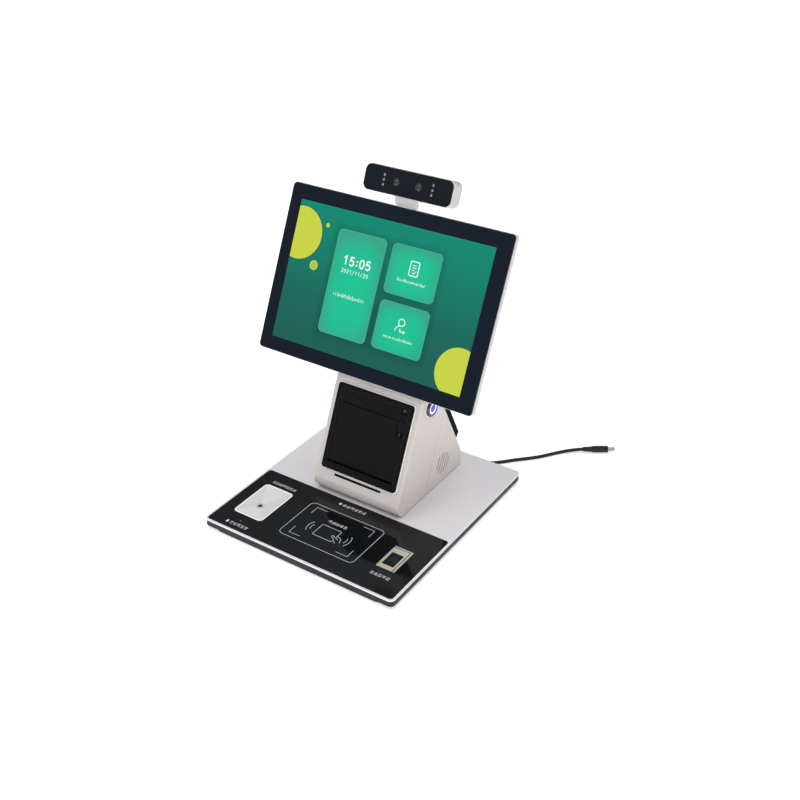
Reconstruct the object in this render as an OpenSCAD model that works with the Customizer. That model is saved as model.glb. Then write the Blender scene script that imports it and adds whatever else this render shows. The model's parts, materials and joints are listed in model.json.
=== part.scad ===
// Desktop visitor terminal with fingerprint reader, card pad, code scanner,
// receipt printer, tilting touch display and a two-lens camera bar.
// Millimetres, +Z up, +X to the right and -Y to the front. The origin is the
// centre of the base's footprint, on the surface that the feet stand on.

/* [Base] */
// Width of the base plate
base_w = 298; // [280:1:320]
// Depth of the base plate
base_d = 318; // [310:1:330]
// Height of the base plate's top above the table
base_h = 15; // [15:1:16]
// Corner radius of the base plate
base_r = 7; // [5:1:10]
// Height of the white band round the top of the base
band_h = 2.4; // [2:0.2:3]
// Height of the dark tray band below it
tray_h = 8; // [7.6:0.2:8.4]
// How far the bottom plate stands back from the base's sides
plinth_side = 17; // [15:1:18]
// How far the bottom plate stands back from the base's front and rear edges
plinth_front = 1.2; // [1:0.2:3]

/* [Front panel] */
// Width of the white rim round the black panel
rim_w = 2.6; // [2:0.2:4]
// Front-to-back position of the black panel's rear edge
panel_rear_y = -25.6; // [-28:0.2:-24]
// Thickness of the black acrylic panel
panel_t = 2.4; // [2:0.2:3]

/* [Pedestal] */
// Width of the pedestal
ped_w = 136; // [134:1:140]
// Front-to-back position of the front face, extended down to the base's top
face_y0 = -34.7; // [-36:0.1:-34]
// Lean of the front face, back from vertical, in degrees
face_tilt = 24.4; // [24:0.1:25]
// Height of the pedestal's flat top
ped_top = 165; // [163:1:168]
// Front-to-back position of the short rear wall
ped_rear_y = 131; // [130:1:134]
// Height of the kink between rear wall and rear slope
kink_z = 40; // [38:1:42]
// Lean of the rear slope, forward from vertical, in degrees
slope_tilt = 26.5; // [26:0.5:27]
// Wall thickness of the pedestal casing
wall = 2.5; // [2:0.1:3]

/* [Display] */
// Width of the cover glass
glass_w = 325.8; // [320:0.2:330]
// Height of the cover glass
glass_h = 219.4; // [216:0.2:222]
// Lean of the display, back from vertical, in degrees
display_tilt = 25.3; // [24:0.1:26]
// Depth of the display casing behind the front of the glass
casing_d = 10.3; // [10:0.1:12]

/* [Camera bar] */
// Width of the camera bar's black face
camera_w = 127.6; // [120:0.2:130]
// Height of the camera bar's black face
camera_h = 31.8; // [30:0.2:33]
// Depth of the camera bar
camera_d = 23.5; // [22:0.5:25]
// Lean of the camera bar, back from vertical, in degrees
camera_tilt = 22.6; // [21:0.1:24]

/* [Cord] */
// Diameter of the power cord
cord_dia = 5; // [4.8:0.1:5.2]

/* [Hidden] */

$fn = 48;
eps = 0.01;

// Levels of the base. The tray's lip laps over the outside of the cover's skirt.
band_z = base_h - band_h;
tray_z = band_z - tray_h;
cover_h = 4.6;
cover_z = base_h - cover_h;
lap_t = 1.2;
lap_gap = 0.1;
foot_h = 1.8;
tray_wall = 3;
tray_floor = 1.8;
cover_skin = 2;
cavity_z = tray_z + tray_floor;
panel_top = base_h - 0.3;
panel_z = panel_top - panel_t;
panel_w = base_w - 2 * rim_w;
panel_front_y = -base_d / 2 + rim_w;
panel_d = panel_rear_y - panel_front_y;
panel_y = (panel_front_y + panel_rear_y) / 2;
fit_gap = 0.15;
foot_dia = 18;
foot_inset = 28;
foot_x = base_w / 2 - foot_inset;
foot_y = base_d / 2 - foot_inset;
// Hole through the base for the cables, under the pedestal
cable_hole_y = 60;
cable_hole_r = 12;

// Windows in the black panel: centre, width and depth of each
window_c = [-105, -89.5];
window_size = [47.5, 70.5];
window_r = 6;
window_rim = 1.6;
lens_c = [-104, -98.4];
lens_hole_r = 4.1;
card_c = [8.5, -90.3];
card_pad = [100, 66];
finger_c = [107.5, -91.5];
finger_size = [27.2, 44.2];
finger_open_c = [106.2, -94];
finger_open = [17.6, 25.4];
mic_c = [-104.3, -137.4];
mic_hole_r = 0.8;

// Pedestal: the side outline, in Y and Z
chin_r = 16;
top_r = 6;
kink_r = 8;
edge_r = 2.5;
inner_edge_r = 0.5;

// Printer, in the front face's own axes: X, depth into the face, height up it
frame_w = 118;
frame_v0 = 39.6;
frame_v1 = 157;
frame_proud = 2.4;
frame_r = 4;
sleeve_w = 109;
sleeve_v0 = 44;
sleeve_v1 = 152.6;
sleeve_depth = 9;
door_open_w = 105;
door_open_v0 = 47.8;
door_open_v1 = 133.5;
notch_x = 39.6;
notch_v = 109.5;
door_gap = 0.5;
door_t = 2.6;
door_v0 = 51.2;
exit_x0 = -45;
exit_x1 = 36.7;
hinge_d = 4;
hinge_v = 55;
hinge_pin_r = 1.5;
running_gap = 0.05;
platen_d = 9.5;
platen_v = 126;
platen_r = 5.5;
platen_shaft_r = 2.5;
roll_x0 = -44;
roll_x1 = 36;
roll_r = 22;
roll_d = 43.7;
roll_v = 81.8;
bucket_wall = 1.5;
bucket_x0 = roll_x0 - bucket_wall - 0.8;
bucket_x1 = roll_x1 + bucket_wall + 0.8;
plate_x = bucket_x0 - 1.5;
gear_module = 0.8;
platen_teeth = 16;
drive_teeth = 24;
pinion_teeth = 12;
gear_x = -52;
gear_w = 3.6;
mesh_gap = 0.08;
drive_d = platen_d + gear_module * (platen_teeth + drive_teeth) / 2 + mesh_gap;
pinion_v = platen_v + gear_module * (drive_teeth + pinion_teeth) / 2 + mesh_gap;
feed_x = 46.7;
feed_v = 147.6;
feed_r = 2.8;
latch_x = 46.6;
latch_v = 115.1;
latch_size = [10.4, 7];
slot_v = 33.8;
slot_w = 75;
slot_h = 3.4;
slit_h = 1.5;
led_spots = [135.8, 141.6];
led_r = 1;
led_line_x = 46.6;

// Side of the pedestal
button_y = 53.2;
button_z = 148;
button_r = 12;
button_proud = 3.6;
button_hole_r = 8;
grille_y = 84.2;
grille_z = 43.6;
grille_r = 15.8;
grille_pitch = 6.5;
grille_slot = 1.8;

// Sockets in the rear wall
port_x = [-30, -12];
port_z = 24;
port_w = 13;
port_h = 5.6;

// Rear cover, on the rear slope
rear_w = 134;
rear_t = 9.5;
rear_z0 = 62;
rear_z1 = 150;
service_open = [110, 78];

// Display: the glass's centre, and the tilt hinge in the glass's own axes
glass_y = 37.5;
glass_z = 299;
casing_lip = 0.8;
glass_t = 1.8;
glass_r = 5;
bulge_d = 26;
tilt_d = 38;
tilt_v = -60;
shaft_r = 4;
column_w = 34;
neck_y = 50;

// Camera bar: the face's centre, and its pivot in the face's own axes
camera_y = 102.5;
camera_z = 420.4;
camera_pivot_d = 12;
camera_pivot_v = -23;
camera_pin_r = 2;
camera_r = 8;
camera_face_t = 1.6;
lug_w = 16;
lens_x = 16.2;
lens_r = 4.5;
led_x = 35.5;
led_pitch = 6.1;
camera_led_r = 1.9;

// Cord: where it leaves the base, its coil, and the routes of its two free ends
cord_r = cord_dia / 2;
gland_x = -66;
gland_z = 9.3;
gland_r = 2.7;
relief_end = [gland_x, 181, 5.2];
coil_c = [-36, 209];
coil_inner_r = 17.5;
coil_turns = [4, 2];
inner_route = [
    [-66, 181, 5.2], [-66, 185, 3.8], [-66, 189, 2.9], [-66, 193, 2.6],
    [-66, 200, 2.6], [-66, 207, 2.6]
];
outer_route = [
    [0.7, 206, 2.6], [1.4, 198, 2.6], [4, 189, 2.6], [10, 180, 2.6],
    [18, 174, 2.6], [27, 170, 2.6], [37, 167, 2.6], [48, 164.8, 2.6],
    [59, 163.8, 2.6], [70, 163.8, 2.6], [81, 165.5, 2.6], [91, 169.3, 2.6],
    [100, 176, 2.6], [109, 185, 2.6], [119, 196, 2.6], [133, 210, 2.6],
    [145, 223, 2.6], [156, 238, 2.6], [166, 251, 2.9], [175, 260, 3.7],
    [184, 267, 4.6], [190, 271, 5.2]
];
plug_dir = [0.83, 0.55];

// ---- Helpers ----

module rounded_rect(w, d, r) {
    square([w - 2 * r, d], center = true);
    square([w, d - 2 * r], center = true);
    for (x = [-1, 1], y = [-1, 1])
        translate([x * (w / 2 - r), y * (d / 2 - r)])
            circle(r);
}

module rounded_box(w, d, h, r) {
    linear_extrude(height = h)
        rounded_rect(w, d, r);
}

// A rounded plate that stands in an upright face: thickness runs along +Y
module upright_plate(w, h, t, r) {
    rotate([-90, 0, 0])
        linear_extrude(height = t)
            rounded_rect(w, h, r);
}

// A cylinder along X between two stations
module x_rod(x0, x1, r) {
    translate([x0, 0, 0])
        rotate([0, 90, 0])
            cylinder(h = x1 - x0, r = r);
}

// Axes of the slanted front face: Y goes into it and Z up along it
module on_face() {
    translate([0, face_y0, base_h])
        rotate([-face_tilt, 0, 0])
            children();
}

module on_glass() {
    translate([0, glass_y, glass_z])
        rotate([-display_tilt, 0, 0])
            children();
}

module on_camera() {
    translate([0, camera_y, camera_z])
        rotate([-camera_tilt, 0, 0])
            children();
}

module on_slope() {
    translate([0, slope_y(rear_z0, 0), rear_z0])
        rotate([slope_tilt, 0, 0])
            children();
}

function front_y(z, inset) = face_y0 + inset / cos(face_tilt) + (z - base_h) * tan(face_tilt);
function slope_y(z, inset) = ped_rear_y - inset / cos(slope_tilt) - (z - kink_z) * tan(slope_tilt);
function unit2(p) = p / norm(p);

// Points of the arc that rounds corner q, between its neighbours p and s
function corner_arc(p, q, s, r, steps = 10) =
    let (u = unit2(p - q), v = unit2(s - q))
    let (half = acos(u * v) / 2, mid = unit2(u + v))
    let (c = q + mid * r / sin(half), a = q + u * r / tan(half) - c, b = q + v * r / tan(half) - c)
    let (a0 = atan2(a[1], a[0]), turn = (atan2(b[1], b[0]) - a0 + 540) % 360 - 180)
    [for (i = [0:steps]) c + r * [cos(a0 + turn * i / steps), sin(a0 + turn * i / steps)]];

function ped_outline(inset) =
    let (top = ped_top - inset, rear = ped_rear_y - inset)
    let (kink = kink_z + (inset - inset / cos(slope_tilt)) / tan(slope_tilt))
    let (a = [front_y(base_h, inset), base_h], b = [front_y(top, inset), top])
    let (c = [slope_y(top, inset), top], d = [rear, kink], e = [rear, base_h])
    concat(
        corner_arc(e, a, b, chin_r - inset),
        corner_arc(a, b, c, top_r - inset),
        corner_arc(b, c, d, top_r - inset),
        corner_arc(c, d, e, kink_r - inset),
        [e]
    );

// The pedestal's body, drawn inwards by inset, with rounded front edges
module ped_solid(inset) {
    w = ped_w - 2 * inset;
    r = max(edge_r - inset, inner_edge_r);
    intersection() {
        translate([-w / 2, 0, 0])
            rotate([90, 0, 90])
                linear_extrude(height = w)
                    polygon(ped_outline(inset));
        on_face()
            translate([0, inset, -60])
                linear_extrude(height = 320) {
                    translate([-w / 2, r])
                        square([w, 220]);
                    translate([-w / 2 + r, 0])
                        square([w - 2 * r, r + eps]);
                    for (x = [-1, 1])
                        translate([x * (w / 2 - r), r])
                            circle(r);
                }
    }
}

// ---- Base ----

module rubber_feet() {
    color("#222326")
        for (x = [-foot_x, foot_x], y = [-foot_y, foot_y])
            translate([x, y, 0])
                cylinder(h = foot_h, r = foot_dia / 2);
}

bottom_screw_spots = [for (x = [-1, 1], y = [-1, 0, 1]) [x * 100, y * 118]];
bottom_screw_r = 1.5;
bottom_head_r = 3;
bottom_head_h = 1.2;
hex_r = 1.2;

module bottom_plate() {
    color("#2e323a")
        difference() {
            translate([0, 0, foot_h])
                rounded_box(base_w - 2 * plinth_side, base_d - 2 * plinth_front,
                            tray_z - foot_h, base_r + 3);
            for (p = bottom_screw_spots)
                translate([p[0], p[1], foot_h - eps]) {
                    cylinder(h = 10, r = bottom_screw_r + 0.2);
                    cylinder(h = bottom_head_h + 0.1, r = bottom_head_r + 0.2);
                }
        }
}

module bottom_screws() {
    color("#8e9196")
        for (p = bottom_screw_spots)
            translate([p[0], p[1], foot_h]) {
                difference() {
                    cylinder(h = bottom_head_h, r = bottom_head_r);
                    translate([0, 0, -eps])
                        cylinder(h = 0.8, r = hex_r, $fn = 6);
                }
                cylinder(h = tray_z - foot_h, r = bottom_screw_r);
            }
}

module base_tray() {
    color("#333944")
        difference() {
            translate([0, 0, tray_z])
                rounded_box(base_w, base_d, tray_h, base_r);
            translate([0, 0, cavity_z])
                rounded_box(base_w - 2 * tray_wall, base_d - 2 * tray_wall, tray_h,
                            base_r - tray_wall);
            translate([0, 0, cover_z])
                rounded_box(base_w - 2 * lap_t, base_d - 2 * lap_t, tray_h, base_r - lap_t);
            gland_hole();
        }
}

module gland_hole() {
    translate([gland_x, base_d / 2 - tray_wall - 1, gland_z])
        rotate([-90, 0, 0])
            cylinder(h = tray_wall + 2, r = gland_r);
}

module base_cover() {
    rib = 2;
    ledge = 2.5;
    skirt = lap_t + lap_gap;
    hollow_front_y = panel_rear_y + rib;
    hollow_d = base_d / 2 - tray_wall - hollow_front_y;
    color("#d6d7da")
        difference() {
            union() {
                translate([0, 0, band_z])
                    rounded_box(base_w, base_d, band_h, base_r);
                translate([0, 0, cover_z])
                    rounded_box(base_w - 2 * skirt, base_d - 2 * skirt, cover_h - 1, base_r - skirt);
            }
            translate([0, panel_y, panel_z])
                rounded_box(panel_w, panel_d, panel_t + 1, base_r - rim_w);
            translate([0, panel_y, cover_z - 1])
                rounded_box(panel_w - 2 * ledge, panel_d - 2 * ledge, cover_h, 3);
            translate([0, hollow_front_y + hollow_d / 2, cover_z - 1])
                rounded_box(base_w - 2 * tray_wall, hollow_d,
                            cover_h + 1 - cover_skin, base_r - tray_wall);
            translate([0, cable_hole_y, cover_z])
                cylinder(h = cover_h + 1, r = cable_hole_r);
            gland_hole();
        }
}

module ballast_plate() {
    size = [230, 110, 5];
    mid_y = 92;
    color("#6d7075")
        difference() {
            translate([0, mid_y, cavity_z])
                rounded_box(size[0], size[1], size[2], 6);
            translate([0, cable_hole_y, cavity_z - 1])
                cylinder(h = size[2] + 2, r = cable_hole_r + 2);
        }
}

module front_panel() {
    color("#16181a")
        difference() {
            translate([0, panel_y, panel_z])
                rounded_box(panel_w - 2 * fit_gap, panel_d - 2 * fit_gap, panel_t,
                            base_r - rim_w - fit_gap);
            translate([window_c[0], window_c[1], panel_z - 1])
                rounded_box(window_size[0] + 0.2, window_size[1] + 0.2, panel_t + 2,
                            window_r + 0.1);
            translate([finger_c[0], finger_c[1], panel_z - 1])
                rounded_box(finger_size[0] + 0.2, finger_size[1] + 0.2, panel_t + 2, 0.6);
            translate([mic_c[0], mic_c[1], panel_z - 1])
                cylinder(h = panel_t + 2, r = mic_hole_r);
        }
}

module scanner_window_rim() {
    color("#f2f0ea")
        translate([window_c[0], window_c[1], panel_z])
            difference() {
                rounded_box(window_size[0], window_size[1], panel_t + 0.2, window_r);
                translate([0, 0, -1])
                    rounded_box(window_size[0] - 2 * window_rim, window_size[1] - 2 * window_rim,
                                panel_t + 3, window_r - window_rim);
            }
}

module scanner_window() {
    inset = window_rim + 0.1;
    color("#d0d1d2")
        difference() {
            translate([window_c[0], window_c[1], panel_z + 0.4])
                rounded_box(window_size[0] - 2 * inset, window_size[1] - 2 * inset, panel_t - 0.6,
                            window_r - inset);
            translate([lens_c[0], lens_c[1], panel_z - 1])
                cylinder(h = panel_t + 3, r = lens_hole_r);
        }
}

module scanner_module() {
    body = [40, 60, 4.4];
    barrel_z = cavity_z + body[2] - 0.4;
    color("#3c4148") {
        translate([window_c[0] - body[0] / 2, window_c[1] - body[1] / 2, cavity_z])
            cube(body);
        translate([lens_c[0], lens_c[1], barrel_z])
            cylinder(h = panel_top - 0.6 - barrel_z, r = lens_hole_r - 0.1);
    }
}

antenna_t = 1.4;
antenna_z = panel_z - antenna_t - 0.2;

module card_antenna_board() {
    color("#1f6b46")
        translate([card_c[0], card_c[1], antenna_z])
            rounded_box(card_pad[0], card_pad[1], antenna_t, 3);
}

module card_reader_module() {
    can = [50, 40, antenna_z - 0.1 - cavity_z];
    socket = [14, 24, 2.4];
    color("#b9bcc0") {
        translate([card_c[0] - can[0] / 2, card_c[1] - can[1] / 2, cavity_z])
            cube(can);
        translate([card_c[0] + 28, card_c[1] - socket[1] / 2, cavity_z])
            cube(socket);
    }
}

module fingerprint_bezel() {
    color("#c9c6b8")
        difference() {
            translate([finger_c[0], finger_c[1], panel_z])
                rounded_box(finger_size[0], finger_size[1], panel_t + 0.4, 0.5);
            translate([finger_open_c[0], finger_open_c[1], panel_z - 1])
                rounded_box(finger_open[0], finger_open[1], panel_t + 3, 0.6);
        }
}

module fingerprint_window() {
    color("#2c2d30")
        translate([finger_open_c[0], finger_open_c[1], panel_z])
            rounded_box(finger_open[0] - 0.2, finger_open[1] - 0.2, panel_t - 0.9, 0.5);
}

module fingerprint_module() {
    board = [28, 46, 1.6];
    sensor = [19, 27];
    sensor_z = cavity_z + board[2] - 0.1;
    color("#27583f") {
        translate([finger_c[0] - board[0] / 2, finger_c[1] - board[1] / 2, cavity_z])
            cube(board);
        translate([finger_open_c[0] - sensor[0] / 2, finger_open_c[1] - sensor[1] / 2, sensor_z])
            cube([sensor[0], sensor[1], panel_z - sensor_z]);
    }
}

module microphone() {
    can_h = 3;
    color("#a9adb2")
        translate([mic_c[0], mic_c[1], panel_z - can_h])
            cylinder(h = can_h, r = 3);
}

// ---- Pedestal ----

module pedestal_casing() {
    color("#cbc6c1")
        difference() {
            ped_solid(0);
            ped_solid(wall);
            translate([-ped_w / 2 + wall, 0, base_h - 1])
                cube([ped_w - 2 * wall, ped_rear_y - wall, 1 + wall]);
            on_face()
                translate([-sleeve_w / 2 - 0.5, -5, sleeve_v0 - 0.5])
                    cube([sleeve_w + 1, 20, sleeve_v1 - sleeve_v0 + 1]);
            on_face()
                translate([0, -5, slot_v])
                    upright_plate(slot_w, slot_h, 20, slot_h / 2 - eps);
            translate([0, button_y, button_z])
                x_rod(ped_w / 2 - 5, ped_w / 2 + 5, button_hole_r);
            translate([ped_w / 2 - 4, grille_y, grille_z])
                rotate([-face_tilt, 0, 0])
                    grille_slots(8);
            on_slope()
                translate([-service_open[0] / 2, -12, 8])
                    cube([service_open[0], 20, service_open[1]]);
            translate([0, neck_y, ped_top - 5])
                cylinder(h = 10, r = 8);
            for (x = port_x)
                translate([x - 0.3, ped_rear_y - wall - 1, port_z - 0.3])
                    cube([port_w + 0.6, wall + 2, port_h + 0.6]);
        }
}

module grille_slots(depth) {
    for (i = [-2:2]) {
        half = sqrt(grille_r * grille_r - pow(i * grille_pitch, 2));
        translate([0, i * grille_pitch, 0]) {
            translate([0, -grille_slot / 2, -half + grille_slot / 2])
                cube([depth, grille_slot, 2 * half - grille_slot]);
            for (end = [-1, 1])
                translate([0, 0, end * (half - grille_slot / 2)])
                    x_rod(0, depth, grille_slot / 2);
        }
    }
}

rear_len = (rear_z1 - rear_z0) / cos(slope_tilt);
rear_screw_spots = [for (x = [-1, 1], v = [8, rear_len - 8]) [x * 61, v]];
rear_screw_r = 1.5;

module rear_cover() {
    vent_v0 = 18;
    vent_pitch = 6;
    vents = 9;
    vent_size = [80, 2.4];
    margin = [12, 10];
    skin = 1.5;
    line_w = 1;
    color("#1d1e20")
        on_slope()
            difference() {
                translate([-rear_w / 2, 0, 0])
                    rotate([90, 0, 90])
                        linear_extrude(height = rear_w)
                            polygon([[0, 0], [rear_t, 5.5], [rear_t, rear_len - 5], [0, rear_len]]);
                translate([-rear_w / 2 + margin[0], -1, margin[1]])
                    cube([rear_w - 2 * margin[0], rear_t - skin, rear_len - 2 * margin[1]]);
                for (i = [0:vents - 1])
                    translate([-vent_size[0] / 2, 0, vent_v0 + i * vent_pitch])
                        cube([vent_size[0], 20, vent_size[1]]);
                for (side = [-1, 1], y = [2.6, 5.8])
                    translate([side * rear_w / 2 - 0.8, y, -1])
                        cube([1.6, line_w, rear_len + 2]);
                for (p = rear_screw_spots)
                    translate([p[0], -1, p[1]])
                        rotate([-90, 0, 0])
                            cylinder(h = rear_t + 2, r = rear_screw_r + 0.2);
            }
}

module rear_cover_screws() {
    head_h = 1.4;
    color("#8e9196")
        on_slope()
            for (p = rear_screw_spots)
                translate([p[0], 0, p[1]])
                    rotate([-90, 0, 0])
                        difference() {
                            union() {
                                cylinder(h = rear_t, r = rear_screw_r);
                                translate([0, 0, rear_t])
                                    cylinder(h = head_h, r = 2.8);
                            }
                            translate([0, 0, rear_t + head_h - 0.8])
                                cylinder(h = 1, r = hex_r, $fn = 6);
                        }
}

// The main board on its four pillars, with the processor's cooler and two connectors
module mainboard() {
    board = [104, 88, 1.6];
    board_y = 26;
    board_z = 21;
    pillar_inset = 6;
    parts_z = board_z + board[2] - 0.1;
    color("#1f6b46") {
        translate([-board[0] / 2, board_y, board_z])
            cube(board);
        for (x = [-1, 1], y = [board_y + pillar_inset, board_y + board[1] - pillar_inset])
            translate([x * (board[0] / 2 - pillar_inset), y, base_h])
                cylinder(h = board_z - base_h, r = 3);
        translate([-18, 62, parts_z])
            cube([36, 36, 9]);
        translate([26, 84, parts_z])
            cube([16, 18, 7]);
        translate([-44, 84, parts_z])
            cube([14, 20, 6]);
    }
}

// Two USB sockets in the short rear wall, each a metal shell round a tongue
module io_ports() {
    depth = 16;
    shell_t = 0.5;
    tongue = [port_w - 2, depth - 4, 1.4];
    color("#b4b7bb")
        for (x = port_x)
            translate([x, ped_rear_y - wall - depth + 1.5, port_z]) {
                difference() {
                    cube([port_w, depth, port_h]);
                    translate([shell_t, 3, shell_t])
                        cube([port_w - 2 * shell_t, depth, port_h - 2 * shell_t]);
                }
                translate([1, 2, 2.6])
                    cube(tongue);
            }
}

module speaker() {
    frame_t = 3;
    magnet_t = 8;
    color("#2a2b2e")
        translate([ped_w / 2 - wall, grille_y, grille_z]) {
            x_rod(-frame_t, 0, 19);
            x_rod(-frame_t - magnet_t, -frame_t + 0.1, 12);
        }
}

module card_slot_bezel() {
    color("#0e0f10")
        on_face()
            translate([0, 0.05, slot_v])
                difference() {
                    upright_plate(slot_w - 0.1, slot_h - 0.1, 3, 1.6);
                    translate([0, -1, 0])
                        upright_plate(slot_w - 4, slit_h, 5, 0.7);
                }
}

module card_slot_reader() {
    body = [80, 26, 7];
    slit = [slot_w - 4, body[1] - 2, slit_h];
    color("#3c4148")
        on_face()
            translate([0, 3.2, slot_v])
                difference() {
                    translate([-body[0] / 2, 0, -body[2] / 2 - 0.1])
                        cube(body);
                    translate([-slit[0] / 2, -1, -slit_h / 2])
                        cube(slit);
                }
}

ring_r = 8.2;
ring_back = 0.6;
cap_r = 5.1;

module power_button_bezel() {
    chamfer = 0.8;
    barrel = 14;
    color("#d4d6da")
        translate([ped_w / 2, button_y, button_z])
            difference() {
                union() {
                    x_rod(0, button_proud - chamfer, button_r);
                    translate([button_proud - chamfer - eps, 0, 0])
                        rotate([0, 90, 0])
                            cylinder(h = chamfer, r1 = button_r, r2 = button_r - chamfer);
                    x_rod(-barrel, eps, button_hole_r - 0.1);
                }
                x_rod(-5, button_proud + 1, 6.4);
                x_rod(ring_back, button_proud + 1, ring_r + 0.1);
            }
}

module power_button_ring() {
    color("#9fc4ff")
        translate([ped_w / 2, button_y, button_z])
            difference() {
                x_rod(ring_back, button_proud - 0.5, ring_r);
                x_rod(-1, button_proud + 1, cap_r + 0.2);
            }
}

module power_button_cap() {
    color("#c9ccd1")
        translate([ped_w / 2, button_y, button_z])
            x_rod(-2.2, button_proud - 0.5, cap_r);
}

// ---- Printer ----

module face_box(x0, x1, d0, d1, v0, v1) {
    translate([x0, d0, v0])
        cube([x1 - x0, d1 - d0, v1 - v0]);
}

module printer_frame() {
    column_x0 = notch_x + door_gap;
    frame_v = (frame_v0 + frame_v1) / 2;
    sleeve_v = (sleeve_v0 + sleeve_v1) / 2;
    color("#222224")
        on_face()
            difference() {
                union() {
                    translate([0, -frame_proud, frame_v])
                        upright_plate(frame_w, frame_v1 - frame_v0, frame_proud, frame_r);
                    translate([0, -eps, sleeve_v])
                        upright_plate(sleeve_w, sleeve_v1 - sleeve_v0, sleeve_depth, 2);
                }
                difference() {
                    face_box(-door_open_w / 2, door_open_w / 2, -5, 20, door_open_v0, door_open_v1);
                    face_box(column_x0, door_open_w / 2 + 1, -5, 7, notch_v, door_open_v1 + 1);
                }
                face_box(-door_open_w / 2, door_open_w / 2, 2, 20, door_open_v0 - 2, sleeve_v1 - 2);
                translate([feed_x, 0, feed_v])
                    rotate([90, 0, 0])
                        cylinder(h = 10, r = feed_r + 0.3, center = true);
                face_box(latch_x - latch_size[0] / 2 - 0.3, latch_x + latch_size[0] / 2 + 0.3, -5, 20,
                         latch_v - latch_size[1] / 2 - 0.3, latch_v + latch_size[1] / 2 + 0.3);
                for (v = led_spots)
                    translate([led_line_x, 0, v])
                        rotate([90, 0, 0])
                            cylinder(h = 10, r = led_r + 0.1, center = true);
                for (side = [-1, 1])
                    translate([0, hinge_d, hinge_v])
                        x_rod(side * 53 - 3, side * 53 + 3, hinge_pin_r);
            }
}

module printer_led() {
    color("#3a5a44")
        on_face()
            for (v = led_spots)
                translate([led_line_x, -frame_proud + 0.2, v])
                    rotate([-90, 0, 0])
                        cylinder(h = 4, r = led_r);
}

module door_hinge_pins() {
    color("#b4b7bb")
        on_face()
            for (side = [-1, 1])
                translate([0, hinge_d, hinge_v])
                    x_rod(side * 50.5 - 3.9, side * 50.5 + 3.9, hinge_pin_r);
}

// The door, with its two hinge ears and the two arms that carry the platen roller
module printer_door() {
    edge = door_open_w / 2 - door_gap;
    top = door_open_v1 - 0.4;
    front_d = -frame_proud + 0.4;
    ear_w = 3;
    color("#1f1f21")
        on_face()
            difference() {
                union() {
                    face_box(-edge, notch_x - door_gap, front_d, front_d + door_t, door_v0, top);
                    face_box(-edge, edge, front_d, front_d + door_t, door_v0, notch_v - door_gap);
                    for (side = [-1, 1])
                        translate([side * 48 - ear_w / 2, 0, 0])
                            rotate([90, 0, 90])
                                linear_extrude(height = ear_w)
                                    polygon([[-1, door_v0 + 1], [hinge_d + 2.6, door_v0 + 1.4],
                                             [hinge_d + 2.6, hinge_v + 2.6], [-1, hinge_v + 8]]);
                    for (x = [exit_x0 - ear_w - 0.4, exit_x1 - ear_w])
                        translate([x, 0, 0])
                            rotate([90, 0, 90])
                                linear_extrude(height = ear_w)
                                    polygon([[-1, platen_v - 14], [platen_d - 2, platen_v - 4.2],
                                             [platen_d + 4, platen_v - 4.2], [platen_d + 4, platen_v + 4],
                                             [-1, platen_v + 5]]);
                }
                face_box(exit_x0, exit_x1, -5, 5, top - 1.1, top + 1);
                translate([0, hinge_d, hinge_v])
                    x_rod(-60, 60, hinge_pin_r + running_gap);
                translate([0, platen_d, platen_v])
                    x_rod(-60, 60, platen_shaft_r + running_gap);
            }
}

module platen_roller() {
    color("#2b2c2e")
        on_face()
            translate([0, platen_d, platen_v]) {
                x_rod(roll_x0, roll_x1 - 3, platen_r);
                x_rod(gear_x + gear_w, roll_x1 + 1.6, platen_shaft_r);
            }
}

// Radius and half angle of an involute tooth's flank, at radius rho
function involute_deg(rho, base) = (rho <= base) ? 0
    : sqrt(pow(rho / base, 2) - 1) * 180 / PI - acos(base / rho);

function tooth_points(teeth) =
    let (pitch = gear_module * teeth / 2, base = pitch * cos(20))
    let (root = pitch - 1.2 * gear_module, tip = pitch + 0.88 * gear_module)
    let (half = 90 / teeth * 0.92 + involute_deg(pitch, base), steps = 5)
    [for (i = [0:steps])
        let (rho = root + (tip - root) * i / steps)
        [rho, half - involute_deg(rho, base)]];

function gear_points(teeth, turn) = [
    for (k = [0:teeth - 1])
        let (flank = tooth_points(teeth), last = len(flank) - 1, mid = turn + k * 360 / teeth)
        for (i = [0:2 * last + 1])
            let (p = (i <= last) ? flank[i] : flank[2 * last + 1 - i])
            let (a = (i <= last) ? mid - p[1] : mid + p[1])
            p[0] * [cos(a), sin(a)]
];

// A spur gear across the printer's side, with angle 0 pointing into the face
module side_gear(teeth, turn, bore) {
    translate([gear_x, 0, 0])
        rotate([90, 0, 90])
            linear_extrude(height = gear_w)
                difference() {
                    polygon(gear_points(teeth, turn));
                    if (bore > 0)
                        circle(bore);
                }
}

module platen_gear() {
    color("#e8e6dd")
        on_face()
            translate([0, platen_d, platen_v])
                side_gear(platen_teeth, 0, 0);
}

module drive_gear() {
    color("#e8e6dd")
        on_face()
            translate([0, drive_d, platen_v])
                side_gear(drive_teeth, 180 / drive_teeth, 1.5 + running_gap);
}

module motor_pinion() {
    color("#c8b06a")
        on_face()
            translate([0, drive_d, pinion_v]) {
                side_gear(pinion_teeth, 0, 0);
                x_rod(gear_x + gear_w - eps, bucket_x0 + 4, 1);
            }
}

module gear_plate() {
    color("#9a9da2")
        on_face() {
            difference() {
                union() {
                    face_box(plate_x, bucket_x0, 17, 44, 117.2, 150);
                    face_box(plate_x, bucket_x0, 33, 44, 100, 118);
                }
                translate([0, drive_d, pinion_v])
                    x_rod(-50, -40, 1 + running_gap);
            }
            translate([0, drive_d, platen_v])
                x_rod(gear_x - 0.4, plate_x + 0.1, 1.5);
        }
}

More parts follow.
